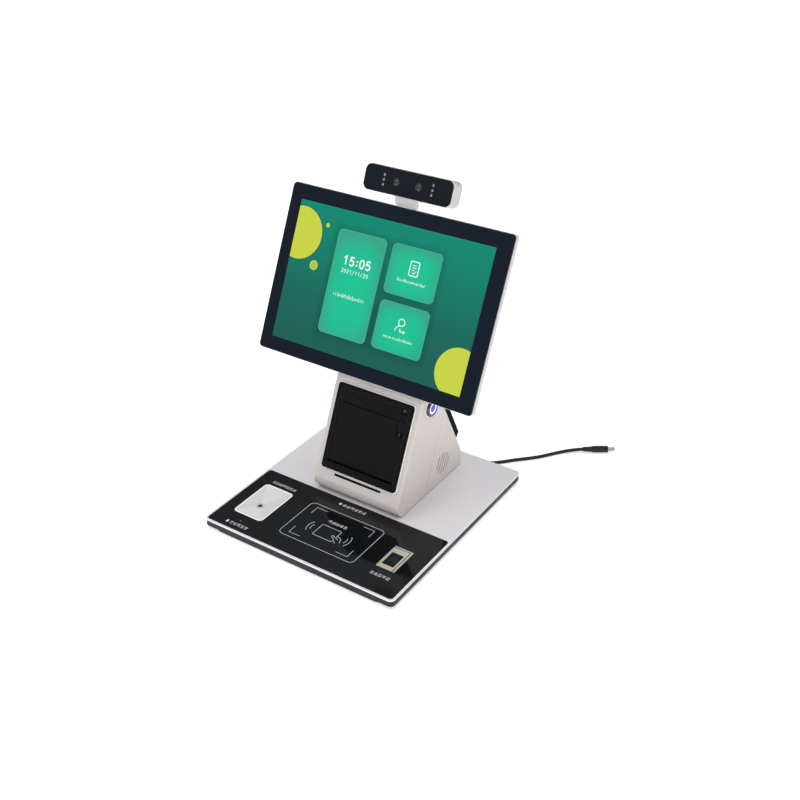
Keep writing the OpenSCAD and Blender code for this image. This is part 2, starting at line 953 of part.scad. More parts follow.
module feed_motor() {
    color("#75787d")
        on_face()
            translate([0, drive_d, pinion_v])
                difference() {
                    x_rod(bucket_x0, bucket_x0 + 18, 8.6);
                    x_rod(bucket_x0 - 1, bucket_x0 + 5, 1.4);
                }
}

// The thermal head behind the platen, and its heat sink
module print_head() {
    head_d = platen_d + platen_r + 0.3;
    head_t = 1.5;
    color("#b9bcc0")
        on_face() {
            face_box(roll_x0 + 0.8, roll_x1 - 3.4, head_d, head_d + head_t, 118.2, 139);
            face_box(-26, 28, head_d + head_t - 0.1, 29, 133, 148);
        }
}

module paper_bucket() {
    front_d = 9.2;
    back_d = 67.5;
    floor_v = 58;
    rim_v = 117;
    color("#28292c")
        on_face()
            difference() {
                face_box(bucket_x0, bucket_x1, front_d, back_d, floor_v, rim_v);
                face_box(bucket_x0 + bucket_wall, bucket_x1 - bucket_wall, front_d - 1,
                         back_d - bucket_wall, floor_v + bucket_wall, rim_v + 1);
            }
}

module paper_roll() {
    core_r = 6;
    color("#f4f3ee")
        on_face()
            translate([0, roll_d, roll_v])
                difference() {
                    x_rod(roll_x0, roll_x1, roll_r);
                    x_rod(roll_x0 - 1, roll_x1 + 1, core_r);
                }
}

module door_latch() {
    color("#17181a")
        on_face()
            face_box(latch_x - latch_size[0] / 2, latch_x + latch_size[0] / 2, -frame_proud + 0.6, 5,
                     latch_v - latch_size[1] / 2, latch_v + latch_size[1] / 2);
}

module feed_button() {
    color("#4a4b4e")
        on_face()
            translate([feed_x, -frame_proud - 0.3, feed_v])
                rotate([-90, 0, 0])
                    cylinder(h = 5, r = feed_r);
}

// ---- Neck and display ----

function glass_point(d, v) = [
    glass_y + d * cos(display_tilt) + v * sin(display_tilt),
    glass_z - d * sin(display_tilt) + v * cos(display_tilt)
];
tilt_yz = glass_point(tilt_d, tilt_v);

module neck_column() {
    barrel_r = 9;
    flange = [column_w + 18, 28, 3];
    color("#c4c2be")
        difference() {
            union() {
                translate([0, neck_y, ped_top])
                    rounded_box(flange[0], flange[1], flange[2], 5);
                translate([-column_w / 2, 0, 0])
                    rotate([90, 0, 90])
                        linear_extrude(height = column_w) {
                            polygon([[39, ped_top + 2], [62, ped_top + 2],
                                     [tilt_yz[0] + barrel_r, tilt_yz[1]],
                                     [tilt_yz[0] - barrel_r, tilt_yz[1]]]);
                            translate(tilt_yz)
                                circle(barrel_r);
                        }
            }
            translate([0, tilt_yz[0], tilt_yz[1]])
                x_rod(-column_w, column_w, shaft_r + running_gap);
        }
}

module hinge_shaft() {
    color("#8e9196")
        translate([0, tilt_yz[0], tilt_yz[1]])
            x_rod(-30, 30, shaft_r);
}

module hinge_leaf() {
    ear_w = 9;
    ear_r = 8;
    leaf_t = 2.5;
    color("#9a9da2")
        on_glass() {
            translate([0, bulge_d, tilt_v + 4])
                upright_plate(75, 62, leaf_t, 5);
            for (side = [-1, 1])
                translate([side * (column_w / 2 + 0.5 + ear_w / 2) - ear_w / 2, 0, 0])
                    difference() {
                        union() {
                            translate([0, bulge_d + leaf_t - 0.5, tilt_v - ear_r])
                                cube([ear_w, tilt_d - bulge_d - leaf_t + 0.5, 2 * ear_r]);
                            translate([0, tilt_d, tilt_v])
                                x_rod(0, ear_w, ear_r);
                        }
                        translate([0, tilt_d, tilt_v])
                            x_rod(-1, ear_w + 1, shaft_r);
                    }
        }
}

// A thin casing behind the glass, with a deeper box for the electronics on its back
module display_casing() {
    bulge_v = -20;
    bulge = [200, 150];
    bulge_wall = 3;
    skin = 1;
    step = 1.7;
    color("#d9d8d6")
        on_glass()
            difference() {
                union() {
                    translate([0, glass_t, 0])
                        upright_plate(glass_w + 2 * casing_lip, glass_h + 2 * casing_lip,
                                      casing_d - glass_t - step + 0.1, glass_r + casing_lip);
                    translate([0, casing_d - step, 0])
                        upright_plate(glass_w - 2, glass_h - 2, step, glass_r);
                    translate([0, casing_d - skin, bulge_v])
                        upright_plate(bulge[0], bulge[1], bulge_d - casing_d + skin, 12);
                }
                translate([0, glass_t - 1, 0])
                    upright_plate(glass_w - 4, glass_h - 4, casing_d - glass_t - skin, glass_r - 2);
                translate([0, casing_d - 4, bulge_v])
                    upright_plate(bulge[0] - 2 * bulge_wall, bulge[1] - 2 * bulge_wall,
                                  bulge_d - casing_d + 2, 12 - bulge_wall);
            }
}

module display_glass() {
    color("#1b2028")
        on_glass()
            upright_plate(glass_w, glass_h, glass_t, glass_r);
}

module lcd_panel() {
    size = [302, 197, 4];
    color("#3a3d42")
        on_glass()
            translate([0, glass_t + 0.1, 0])
                upright_plate(size[0], size[1], size[2], 2);
}

module display_board() {
    color("#1f6b46")
        on_glass() {
            face_box(-70, 50, 12, 13.6, -70, 20);
            face_box(-60, -20, 13.5, 19, -50, 0);
            face_box(0, 36, 13.5, 17, -40, 6);
        }
}

// ---- Camera bar ----

function camera_point(d, v) = [
    camera_y + d * cos(camera_tilt) + v * sin(camera_tilt),
    camera_z - d * sin(camera_tilt) + v * cos(camera_tilt)
];
camera_pivot = camera_point(camera_pivot_d, camera_pivot_v);

// The pivot's place in the glass's axes, for the bracket on the display's back
pivot_dy = camera_pivot[0] - glass_y;
pivot_dz = camera_pivot[1] - glass_z;
bracket_d = pivot_dy * cos(display_tilt) - pivot_dz * sin(display_tilt);
bracket_v = pivot_dy * sin(display_tilt) + pivot_dz * cos(display_tilt);

// A foot on the casing's back and two ears, which hold the pin that the bar turns on
module camera_bracket() {
    ear_w = 4.5;
    ear_r = 4.2;
    foot = [36, 22, 3];
    foot_v = 92;
    color("#e4e3e0")
        on_glass()
            union() {
                translate([0, casing_d, foot_v])
                    upright_plate(foot[0], foot[1], foot[2], 4);
                for (side = [-1, 1])
                    translate([side * (lug_w / 2 + 0.3 + ear_w / 2) - ear_w / 2, 0, 0]) {
                        rotate([90, 0, 90])
                            linear_extrude(height = ear_w)
                                polygon([[casing_d + 2, foot_v - 9], [casing_d + 6, foot_v - 9],
                                         [bracket_d + ear_r - 0.2, bracket_v - 1],
                                         [bracket_d - ear_r + 0.2, bracket_v + 1],
                                         [casing_d + 2, foot_v + 9]]);
                        translate([0, bracket_d, bracket_v])
                            x_rod(0, ear_w, ear_r);
                    }
                translate([0, bracket_d, bracket_v])
                    x_rod(-lug_w / 2 - 2, lug_w / 2 + 2, camera_pin_r);
            }
}

// A shell behind the black face, with a collar and a lug under it for the pivot
module camera_casing() {
    rim = 0.9;
    skin = 2;
    back_t = 2.5;
    lug_r = 5;
    collar = [34, 5, 12];
    collar_v = -camera_h / 2 - 0.1;
    color("#e4e3e0")
        on_camera()
            difference() {
                union() {
                    translate([0, 0.6, 0])
                        upright_plate(camera_w + 2 * rim, camera_h + 2 * rim,
                                      camera_d - back_t - 0.5, camera_r + rim);
                    translate([0, camera_d - back_t, 0])
                        upright_plate(camera_w - 3, camera_h - 3, back_t, camera_r - 1);
                    translate([0, camera_pivot_d - collar[2] / 2, collar_v])
                        upright_plate(collar[0], collar[1], collar[2], 2.4);
                    translate([-lug_w / 2, camera_pivot_d - lug_r, camera_pivot_v])
                        cube([lug_w, 2 * lug_r, -camera_pivot_v - camera_h / 2]);
                    translate([0, camera_pivot_d, camera_pivot_v])
                        x_rod(-lug_w / 2, lug_w / 2, lug_r);
                }
                translate([0, -1, 0])
                    upright_plate(camera_w + 0.2, camera_h + 0.2, camera_face_t + 1.1,
                                  camera_r + 0.1);
                translate([0, 1, 0])
                    upright_plate(camera_w - 2 * skin, camera_h - 2 * skin, camera_d - 5,
                                  camera_r - skin);
                translate([0, camera_pivot_d, camera_pivot_v])
                    x_rod(-lug_w, lug_w, camera_pin_r + running_gap);
            }
}

module camera_face() {
    color("#242a32")
        on_camera()
            difference() {
                upright_plate(camera_w, camera_h, camera_face_t, camera_r);
                for (side = [-1, 1]) {
                    translate([side * lens_x, -1, 0])
                        rotate([-90, 0, 0])
                            cylinder(h = 4, r = lens_r + 0.1);
                    for (i = [-1:1])
                        translate([side * led_x, -1, i * led_pitch])
                            rotate([-90, 0, 0])
                                cylinder(h = 4, r = camera_led_r + 0.1);
                }
            }
}

module camera_lenses() {
    color("#3b3d42")
        on_camera()
            for (side = [-1, 1])
                translate([side * lens_x, 0.7, 0])
                    rotate([-90, 0, 0]) {
                        cylinder(h = 9, r = lens_r);
                        translate([0, 0, 7])
                            cylinder(h = 7, r = lens_r + 2);
                    }
}

module camera_leds() {
    color("#c9c4b4")
        on_camera()
            for (side = [-1, 1], i = [-1:1])
                translate([side * led_x, 0.6, i * led_pitch])
                    rotate([-90, 0, 0])
                        cylinder(h = 5, r = camera_led_r);
}

// ---- Cord ----

function unit3(p) = p / norm(p);

// Cord of one radius along a list of points, with rings of cord_sides corners
cord_sides = 10;
function ring(p, dir, r) =
    let (side = unit3(cross(dir, [0, 0, 1])), up = cross(side, dir))
    [for (i = [0:cord_sides - 1])
        let (a = 360 * i / cord_sides)
        p + r * (side * cos(a) + up * sin(a))];

function route_dir(path, i) =
    unit3(path[min(i + 1, len(path) - 1)] - path[max(i - 1, 0)]);

module cord_tube(path) {
    n = len(path);
    rings = [for (i = [0:n - 1]) ring(path[i], route_dir(path, i), cord_r)];
    points = [for (r = rings, p = r) p];
    sides = [
        for (i = [0:n - 2], k = [0:cord_sides - 1])
            let (k2 = (k + 1) % cord_sides, a = i * cord_sides)
            [a + k, a + k2, a + cord_sides + k2, a + cord_sides + k]
    ];
    first_cap = [for (k = [cord_sides - 1:-1:0]) k];
    last_cap = [for (k = [0:cord_sides - 1]) (n - 1) * cord_sides + k];
    polyhedron(points = points, faces = concat(sides, [first_cap, last_cap]), convexity = 4);
}

// Strain relief: a flange inside the rear wall, a collar and a drooping taper
module cord_gland() {
    wall_y = base_d / 2;
    relief_y = wall_y + 0.9;
    run = relief_end[1] - relief_y;
    drop = gland_z - relief_end[2];
    nut = [12, 1.4, 5.6];
    color("#1c1d1f") {
        translate([gland_x - nut[0] / 2, wall_y - tray_wall - nut[1], gland_z - nut[2] / 2])
            cube(nut);
        translate([gland_x, wall_y - tray_wall - 0.5, gland_z])
            rotate([-90, 0, 0])
                cylinder(h = tray_wall + 2.5, r = gland_r - 0.05);
        translate([gland_x, wall_y + 0.3, gland_z])
            rotate([-90, 0, 0])
                cylinder(h = 2, r = 3.9);
        translate([gland_x, relief_y, gland_z])
            rotate([-90 - atan(drop / run), 0, 0])
                cylinder(h = norm([run, drop]), r1 = 3.7, r2 = cord_r + 0.3);
    }
}

module cord_inner_run() {
    color("#232327")
        cord_tube(inner_route);
}

module cord_outer_run() {
    color("#232327")
        cord_tube(outer_route);
}

module cord_coil() {
    color("#232327")
        translate([coil_c[0], coil_c[1], 0])
            rotate_extrude()
                translate([coil_inner_r, 0])
                    square(cord_dia * coil_turns);
}

// A releasable tie round the coil's bundle
module cord_tie() {
    bundle = cord_dia * coil_turns;
    tie_t = 0.8;
    tie_w = 7;
    color("#101113")
        translate([coil_c[0], coil_c[1] + coil_inner_r + bundle[0] / 2, 0])
            difference() {
                translate([-tie_w / 2, -bundle[0] / 2 - tie_t, 0])
                    cube([tie_w, bundle[0] + 2 * tie_t, bundle[1] + tie_t]);
                translate([-5, -bundle[0] / 2, -1])
                    cube([10, bundle[0], bundle[1] + 1]);
            }
}

// A barrel plug: strain relief, grip and barrel
module dc_plug() {
    last = outer_route[len(outer_route) - 1];
    relief_len = 14;
    grip_len = 22;
    barrel_len = 9.5;
    color("#1c1d1f")
        translate(last)
            rotate([0, 90, atan2(plug_dir[1], plug_dir[0])]) {
                cylinder(h = relief_len, r1 = 3, r2 = 3.8);
                translate([0, 0, relief_len])
                    cylinder(h = grip_len, r = 4.8);
                translate([0, 0, relief_len + grip_len])
                    cylinder(h = barrel_len, r = 2.75);
            }
}

// ---- Nodes ----

rubber_feet();
bottom_plate();
bottom_screws();
base_tray();
base_cover();
ballast_plate();
front_panel();
scanner_window();
scanner_window_rim();
scanner_module();
card_antenna_board();
card_reader_module();
fingerprint_bezel();
fingerprint_window();
fingerprint_module();
microphone();
pedestal_casing();
rear_cover();
rear_cover_screws();
mainboard();
io_ports();
speaker();
card_slot_bezel();
card_slot_reader();
power_button_bezel();
power_button_ring();
power_button_cap();
printer_frame();
paper_bucket();
print_head();
gear_plate();
feed_motor();
printer_led();
door_hinge_pins();
printer_door();
platen_roller();
platen_gear();
drive_gear();
motor_pinion();
paper_roll();
door_latch();
feed_button();
neck_column();
hinge_shaft();
hinge_leaf();
display_casing();
display_glass();
lcd_panel();
display_board();
camera_bracket();
camera_casing();
camera_face();
camera_lenses();
camera_leds();
cord_gland();
cord_inner_run();
cord_coil();
cord_tie();
cord_outer_run();
dc_plug();
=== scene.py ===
import json
import math
import random

import bmesh
import bpy
from mathutils import Matrix, Vector


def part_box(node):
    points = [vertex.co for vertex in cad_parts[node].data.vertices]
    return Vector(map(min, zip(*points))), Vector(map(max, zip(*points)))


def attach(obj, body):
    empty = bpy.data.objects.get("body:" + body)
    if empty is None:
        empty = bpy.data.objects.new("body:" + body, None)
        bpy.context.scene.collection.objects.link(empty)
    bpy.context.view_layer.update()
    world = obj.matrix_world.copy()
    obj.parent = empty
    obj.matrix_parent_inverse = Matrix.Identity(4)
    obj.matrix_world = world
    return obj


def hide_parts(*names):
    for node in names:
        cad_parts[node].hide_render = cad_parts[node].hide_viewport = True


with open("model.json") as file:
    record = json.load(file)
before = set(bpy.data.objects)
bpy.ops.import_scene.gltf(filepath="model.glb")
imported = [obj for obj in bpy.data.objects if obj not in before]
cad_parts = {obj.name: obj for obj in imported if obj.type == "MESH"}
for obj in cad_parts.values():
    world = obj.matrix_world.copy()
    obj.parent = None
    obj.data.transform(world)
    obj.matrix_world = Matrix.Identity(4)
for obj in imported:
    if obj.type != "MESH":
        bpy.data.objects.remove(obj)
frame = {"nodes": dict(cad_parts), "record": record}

MM = 0.001
SHARP_ANGLE = math.radians(32)
scene = bpy.context.scene
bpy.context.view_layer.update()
slot_of = {part["node"]: part["material_slot"] for part in frame["record"]["subparts"]}
body_of = {
    node: body
    for body, nodes in frame["record"]["behaviour"]["bodies"].items()
    for node in nodes
}


# ---- Camera ----

AZIMUTH = math.radians(34.03)
ELEVATION = math.radians(31.51)
ROLL = math.radians(-0.5)
DISTANCE = 1.390
LOOK_AT = Vector((0.0555, 0, 0.1827))
LENS = 50.19


def make_camera():
    back = Vector((
        math.sin(AZIMUTH) * math.cos(ELEVATION),
        -math.cos(AZIMUTH) * math.cos(ELEVATION),
        math.sin(ELEVATION),
    ))
    right = Vector((math.cos(AZIMUTH), math.sin(AZIMUTH), 0))
    up = back.cross(right)
    x_axis = right * math.cos(ROLL) + up * math.sin(ROLL)
    y_axis = up * math.cos(ROLL) - right * math.sin(ROLL)
    camera = bpy.data.objects.new("camera", bpy.data.cameras.new("camera"))
    camera.data.lens = LENS
    camera.data.sensor_width = 36
    camera.data.clip_start = 0.01
    place = Matrix((x_axis, y_axis, back)).transposed().to_4x4()
    place.translation = LOOK_AT + back * DISTANCE
    camera.matrix_world = place
    scene.collection.objects.link(camera)
    scene.camera = camera


make_camera()


# ---- Materials ----

def linear(hex_colour):
    """A colour written as on a screen, in the values that light has."""
    parts = [int(hex_colour[i : i + 2], 16) / 255 for i in (1, 3, 5)]
    return [c / 12.92 if c < 0.04045 else ((c + 0.055) / 1.055) ** 2.4 for c in parts] + [1.0]


def new_material(name):
    material = bpy.data.materials.new(name)
    material.use_nodes = True
    tree = material.node_tree
    shader = tree.nodes["Principled BSDF"]
    return material, tree, shader


def add_node(tree, kind, **values):
    """A node with its settings and inputs set by name; a value may be another node's output."""
    node = tree.nodes.new(kind)
    for key, value in values.items():
        if hasattr(node, key):
            setattr(node, key, value)
            continue
        socket = node.inputs[int(key[3:]) if key.startswith("in_") else key.replace("_", " ")]
        if isinstance(value, bpy.types.NodeSocket):
            tree.links.new(value, socket)
        else:
            socket.default_value = value
    return node


def maths(tree, operation, *values, kind="ShaderNodeVectorMath"):
    """The result of a sum on vectors or, with ShaderNodeMath, on numbers."""
    inputs = {f"in_{i}": value for i, value in enumerate(values)}
    node = add_node(tree, kind, operation=operation, **inputs)
    return node.outputs["Value" if kind == "ShaderNodeMath" or operation == "LENGTH" else "Vector"]


def place_on(tree, system="Generated"):
    return add_node(tree, "ShaderNodeTexCoord").outputs[system]


def fade(tree, share, stops):
    """The colour at a share of the way along the stops, each a position and a colour."""
    node = add_node(tree, "ShaderNodeValToRGB", Fac=share)
    elements = node.color_ramp.elements
    while len(elements) < len(stops):
        elements.new(0.5)
    for element, (position, colour) in zip(elements, stops):
        element.position = position
        element.color = linear(colour) if isinstance(colour, str) else colour
    return node.outputs["Color"]


def surface(
    name, colour, roughness, metallic=0.0, tone=0.06, tone_scale=9.0, grain=0.0,
    grain_scale=900.0, smudge=0.05, coat=0.0, specular=0.5, stretch=(1, 1, 1), shine=0.0,
):
    """A surface whose colour drifts by tone and gloss by smudge, with a raised grain."""
    material, tree, shader = new_material(name)
    place = place_on(tree, "Object")
    stretched = maths(tree, "MULTIPLY", place, stretch)
    drift = add_node(tree, "ShaderNodeTexNoise", Vector=place, Scale=tone_scale, Detail=4.0)
    base = linear(colour)
    dark = [c * (1 - tone) for c in base[:3]] + [1.0]
    light = [min(1.0, c * (1 + tone)) for c in base[:3]] + [1.0]
    tree.links.new(fade(tree, drift.outputs["Fac"], ((0.3, dark), (0.7, light))),
                   shader.inputs["Base Color"])
    marks = add_node(tree, "ShaderNodeTexNoise", Vector=stretched, Scale=38.0, Detail=6.0)
    gloss = add_node(
        tree, "ShaderNodeMapRange", Value=marks.outputs["Fac"], in_1=0.3, in_2=0.7,
        in_3=max(0.02, roughness - smudge), in_4=min(1.0, roughness + smudge),
    )
    tree.links.new(gloss.outputs["Result"], shader.inputs["Roughness"])
    if grain:
        fine = add_node(tree, "ShaderNodeTexNoise", Vector=stretched, Scale=grain_scale, Detail=3.0)
        bump = add_node(tree, "ShaderNodeBump", Strength=1.0, Distance=grain * MM,
                        Height=fine.outputs["Fac"])
        tree.links.new(bump.outputs["Normal"], shader.inputs["Normal"])
    for socket, value in (
        ("Metallic", metallic), ("Specular IOR Level", specular), ("Coat Weight", coat),
        ("Coat Roughness", 0.04), ("Emission Color", (1, 1, 1, 1)), ("Emission Strength", shine),
    ):
        shader.inputs[socket].default_value = value
    return material


WHITE = surface("satin_white_powder_coat", "#EEEBED", 0.34, tone=0.02, grain=0.012, coat=0.15)
WARM = surface("warm_white_powder_coat", "#DFD7D2", 0.38, tone=0.025, grain=0.014, coat=0.1)
SHELL = surface("white_moulded_plastic", "#DBDAD8", 0.42, tone=0.02, grain=0.01)
TRAY = surface("slate_powder_coat", "#171B22", 0.45, tone=0.08, grain=0.02, specular=0.3)
ACRYLIC = surface("black_acrylic", "#111315", 0.07, tone=0.1, smudge=0.03, specular=0.32)
PRINTER = surface("black_textured_plastic", "#131315", 0.55, tone=0.08, grain=0.03,
                  grain_scale=2200, specular=0.12)
MATT = surface("black_matt_plastic", "#0E0F10", 0.75, tone=0.1, grain=0.03, grain_scale=1500,
               specular=0.12)
GLASS = surface("black_cover_glass", "#141B27", 0.06, tone=0.06, smudge=0.02, specular=0.4)
CAMERA_FACE = surface("camera_cover_glass", "#1A1F26", 0.08, tone=0.06, smudge=0.02, specular=0.25)
WINDOW = surface("diffusing_window", "#E8E8E7", 0.3, tone=0.01, grain=0.004)
READER = surface("champagne_anodised", "#D9D3BE", 0.34, metallic=0.4, tone=0.03, grain=0.006,
                 stretch=(14, 1, 1))
READER_GLASS = surface("reader_prism", "#252629", 0.12, tone=0.05, smudge=0.05, specular=0.4)
RUBBER = surface("moulded_rubber", "#232427", 0.75, tone=0.12, grain=0.05, grain_scale=700)
CORD = surface("cord_sheath", "#1A1A1C", 0.5, tone=0.08, grain=0.02, grain_scale=1600, specular=0.3)
STEEL = surface("brushed_steel", "#A9ACB0", 0.32, metallic=1.0, tone=0.05, grain=0.01, stretch=(1,
                30, 30))
CHROME = surface("dark_chrome", "#5A565C", 0.12, metallic=1.0, tone=0.04, smudge=0.04)
BOARD = surface("solder_mask", "#1C6B40", 0.3, tone=0.2, tone_scale=160, grain=0.03, coat=0.2)
MODULE = surface("grey_housing", "#53575E", 0.5, tone=0.06, grain=0.02)
GEAR = surface("acetal", "#E4E1D6", 0.4, tone=0.03, grain=0.008)
BRASS = surface("machined_brass", "#C9A45A", 0.25, metallic=1.0, tone=0.05, grain=0.006)
ROLLER = surface("ground_rubber", "#303032", 0.7, tone=0.06, grain=0.03, grain_scale=2500)
PAPER = surface("thermal_paper", "#F1F0EC", 0.62, tone=0.015, grain=0.01, stretch=(40, 1, 1))
LENS_COAT = surface("coated_lens", "#2B2724", 0.05, tone=0.1, coat=1.0)
LED_CLEAR = surface("clear_epoxy", "#938C7E", 0.12, tone=0.15, tone_scale=400, coat=0.8)
SMOKED = surface("smoked_lens", "#0B0B0D", 0.1, tone=0.1, coat=0.4)
RIM_BLACK = surface("gloss_black_edge", "#060607", 0.22, tone=0.1, specular=0.25)
# A white that gives off a little light, used for painted highlights along edges.
HIGHLIGHT_WHITE = surface("painted_highlight_white", "#FBF7EE", 0.3, tone=0.01, grain=0.004, shine=0.2)
INK = surface("printed_ink", "#BEC1C9", 0.4, tone=0.05)
LABEL_INK = surface("label_ink", "#E4E6EC", 0.4, tone=0.05)

materials = {
    "white_trim": WHITE, "warm_white": WARM, "display_white": SHELL, "tray_grey": TRAY,
    "panel_black": ACRYLIC, "printer_black": PRINTER, "cover_black": MATT, "screen_glass": GLASS,
    "camera_black": CAMERA_FACE, "window_grey": WINDOW, "reader_silver": READER,
    "reader_window": READER_GLASS, "rubber": RUBBER, "cord_black": CORD, "steel": STEEL,
    "chrome": CHROME, "circuit_green": BOARD, "module_grey": MODULE, "gear_white": GEAR,
    "brass": BRASS, "roller_rubber": ROLLER, "paper": PAPER, "indicator": SMOKED,
    "lens_glass": LENS_COAT, "led_clear": LED_CLEAR,
}


def light_up(tree, shader, colour, strength=1.0):
    """Make a shader give off a colour, behind a glossy surface."""
    shader.inputs["Base Color"].default_value = (0, 0, 0, 1)
    shader.inputs["Roughness"].default_value = 0.12
    shader.inputs["Emission Strength"].default_value = strength
    tree.links.new(colour, shader.inputs["Emission Color"])


def glow(name, colour, strength=1.0):
    """A lit surface of one colour, faintly uneven."""
    material, tree, shader = new_material(name)
    noise = add_node(tree, "ShaderNodeTexNoise", Vector=place_on(tree, "Object"), Scale=260.0,
                     Detail=2.0)
    base = linear(colour)
    dimmed = [c * 0.96 for c in base[:3]] + [1.0]
    light_up(tree, shader, fade(tree, noise.outputs["Fac"], ((0, dimmed), (1, base))), strength)
    return material


def ring_glow(name, inner, outer):
    """A lit ring across X, white along its middle and blue at its two rims."""
    material, tree, shader = new_material(name)
    middle = maths(tree, "SUBTRACT", place_on(tree), (0.5, 0.5, 0.5))
    reach = maths(tree, "LENGTH", maths(tree, "MULTIPLY", middle, (0, 2 * outer, 2 * outer)))
    share = add_node(tree, "ShaderNodeMapRange", Value=reach, in_1=inner, in_2=outer)
    stops = ((0, "#1A28E8"), (0.12, "#D4E8FF"), (0.3, "#F2FCFF"), (0.88, "#F2FCFF"), (1, "#5C7CFF"))
    light_up(tree, shader, fade(tree, share.outputs["Result"], stops), 1.25)
    return material


RING_INNER_R, RING_OUTER_R = 5.3, 8.2
materials["button_glow"] = ring_glow("button_ring_light", RING_INNER_R, RING_OUTER_R)
for node, cad_object in frame["nodes"].items():
    cad_object.data.materials.clear()
    cad_object.data.materials.append(materials[slot_of[node]])


# ---- Building blocks ----

SUNK = -0.05
FRONT, UP, DOWN, RIGHT, DISPLAY_REAR = (0, -1, 0.4), (0, 0, 1), (0, 0, -1), (1, 0, 0), (0, 1, -0.5)
CORNERS = [(su, sv) for su in (-1, 1) for sv in (-1, 1)]


class Face:
    """Axes on a face in millimetres, with the body and the slot of what is drawn on it."""

    def __init__(self, axes, body, slot):
        self.axes, self.body, self.slot = axes, body, slot

    def moved(self, height=0.0, v=0.0):
        return Face(self.axes @ Matrix.Translation((0, -height, v)), self.body, self.slot)


def face_on(node, towards, centred=True):
    """The node's largest flat face on that side.

    Its axes start at its middle or, if not centred, where the object's own origin falls on it.
    """
    mesh = frame["nodes"][node].data
    areas = {}
    for polygon in mesh.polygons:
        if polygon.normal.dot(Vector(towards)) > 0.5:
            reach = round(polygon.normal.dot(polygon.center), 5)
            key = tuple(round(c, 3) for c in polygon.normal) + (reach,)
            areas[key] = areas.get(key, 0) + polygon.area
    best = max(areas, key=areas.get)
    into = -Vector(best[:3]).normalized()
    up = Vector((0, 1, 0)) if abs(into.z) > 0.9 else Vector((0, 0, 1))
    up = (up - into * up.dot(into)).normalized()
    turn = Matrix((into.cross(up), into, up)).transposed()
    corners = [
        turn.inverted() @ mesh.vertices[i].co
        for polygon in mesh.polygons
        if abs(polygon.normal.dot(polygon.center) - best[3]) < 2e-5
        and polygon.normal.dot(-into) > 0.999
        for i in polygon.vertices
    ]
    low = Vector(min(c[i] for c in corners) for i in range(3))
    high = Vector(max(c[i] for c in corners) for i in range(3))
    middle = (low + high) / 2 if centred else Vector((0, low.y, 0))
    axes = turn.to_4x4()
    axes.translation = turn @ middle
    return Face(axes @ Matrix.Scale(MM, 4), body_of[node], slot_of[node])


def corners_of(node):
    """The low and high corners of the node's box, in millimetres."""
    return [Vector(corner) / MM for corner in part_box(node)]


def rectangle(u0, u1, v0, v1):
    return [(u0, v0), (u1, v0), (u1, v1), (u0, v1)]


def rounded(width, height, radius, centre=(0, 0), steps=8):
    """The outline of a rectangle with round corners."""
    outline = []
    for corner, (sx, sy) in enumerate(((1, 1), (-1, 1), (-1, -1), (1, -1))):
        for i in range(steps + 1):
            angle = math.pi / 2 * (corner + i / steps)
            outline.append((
                centre[0] + sx * (width / 2 - radius) + radius * math.cos(angle),
                centre[1] + sy * (height / 2 - radius) + radius * math.sin(angle),
            ))
    return outline


def disc(u, v, radius, steps=64, first=0.0, last=2 * math.pi):
    """Points round a circle, or along a part of it."""
    whole = abs(last - first - 2 * math.pi) < 1e-6
    count = steps if whole else steps + 1
    angles = [first + (last - first) * i / steps for i in range(count)]
    return [(u + radius * math.cos(a), v + radius * math.sin(a)) for a in angles]


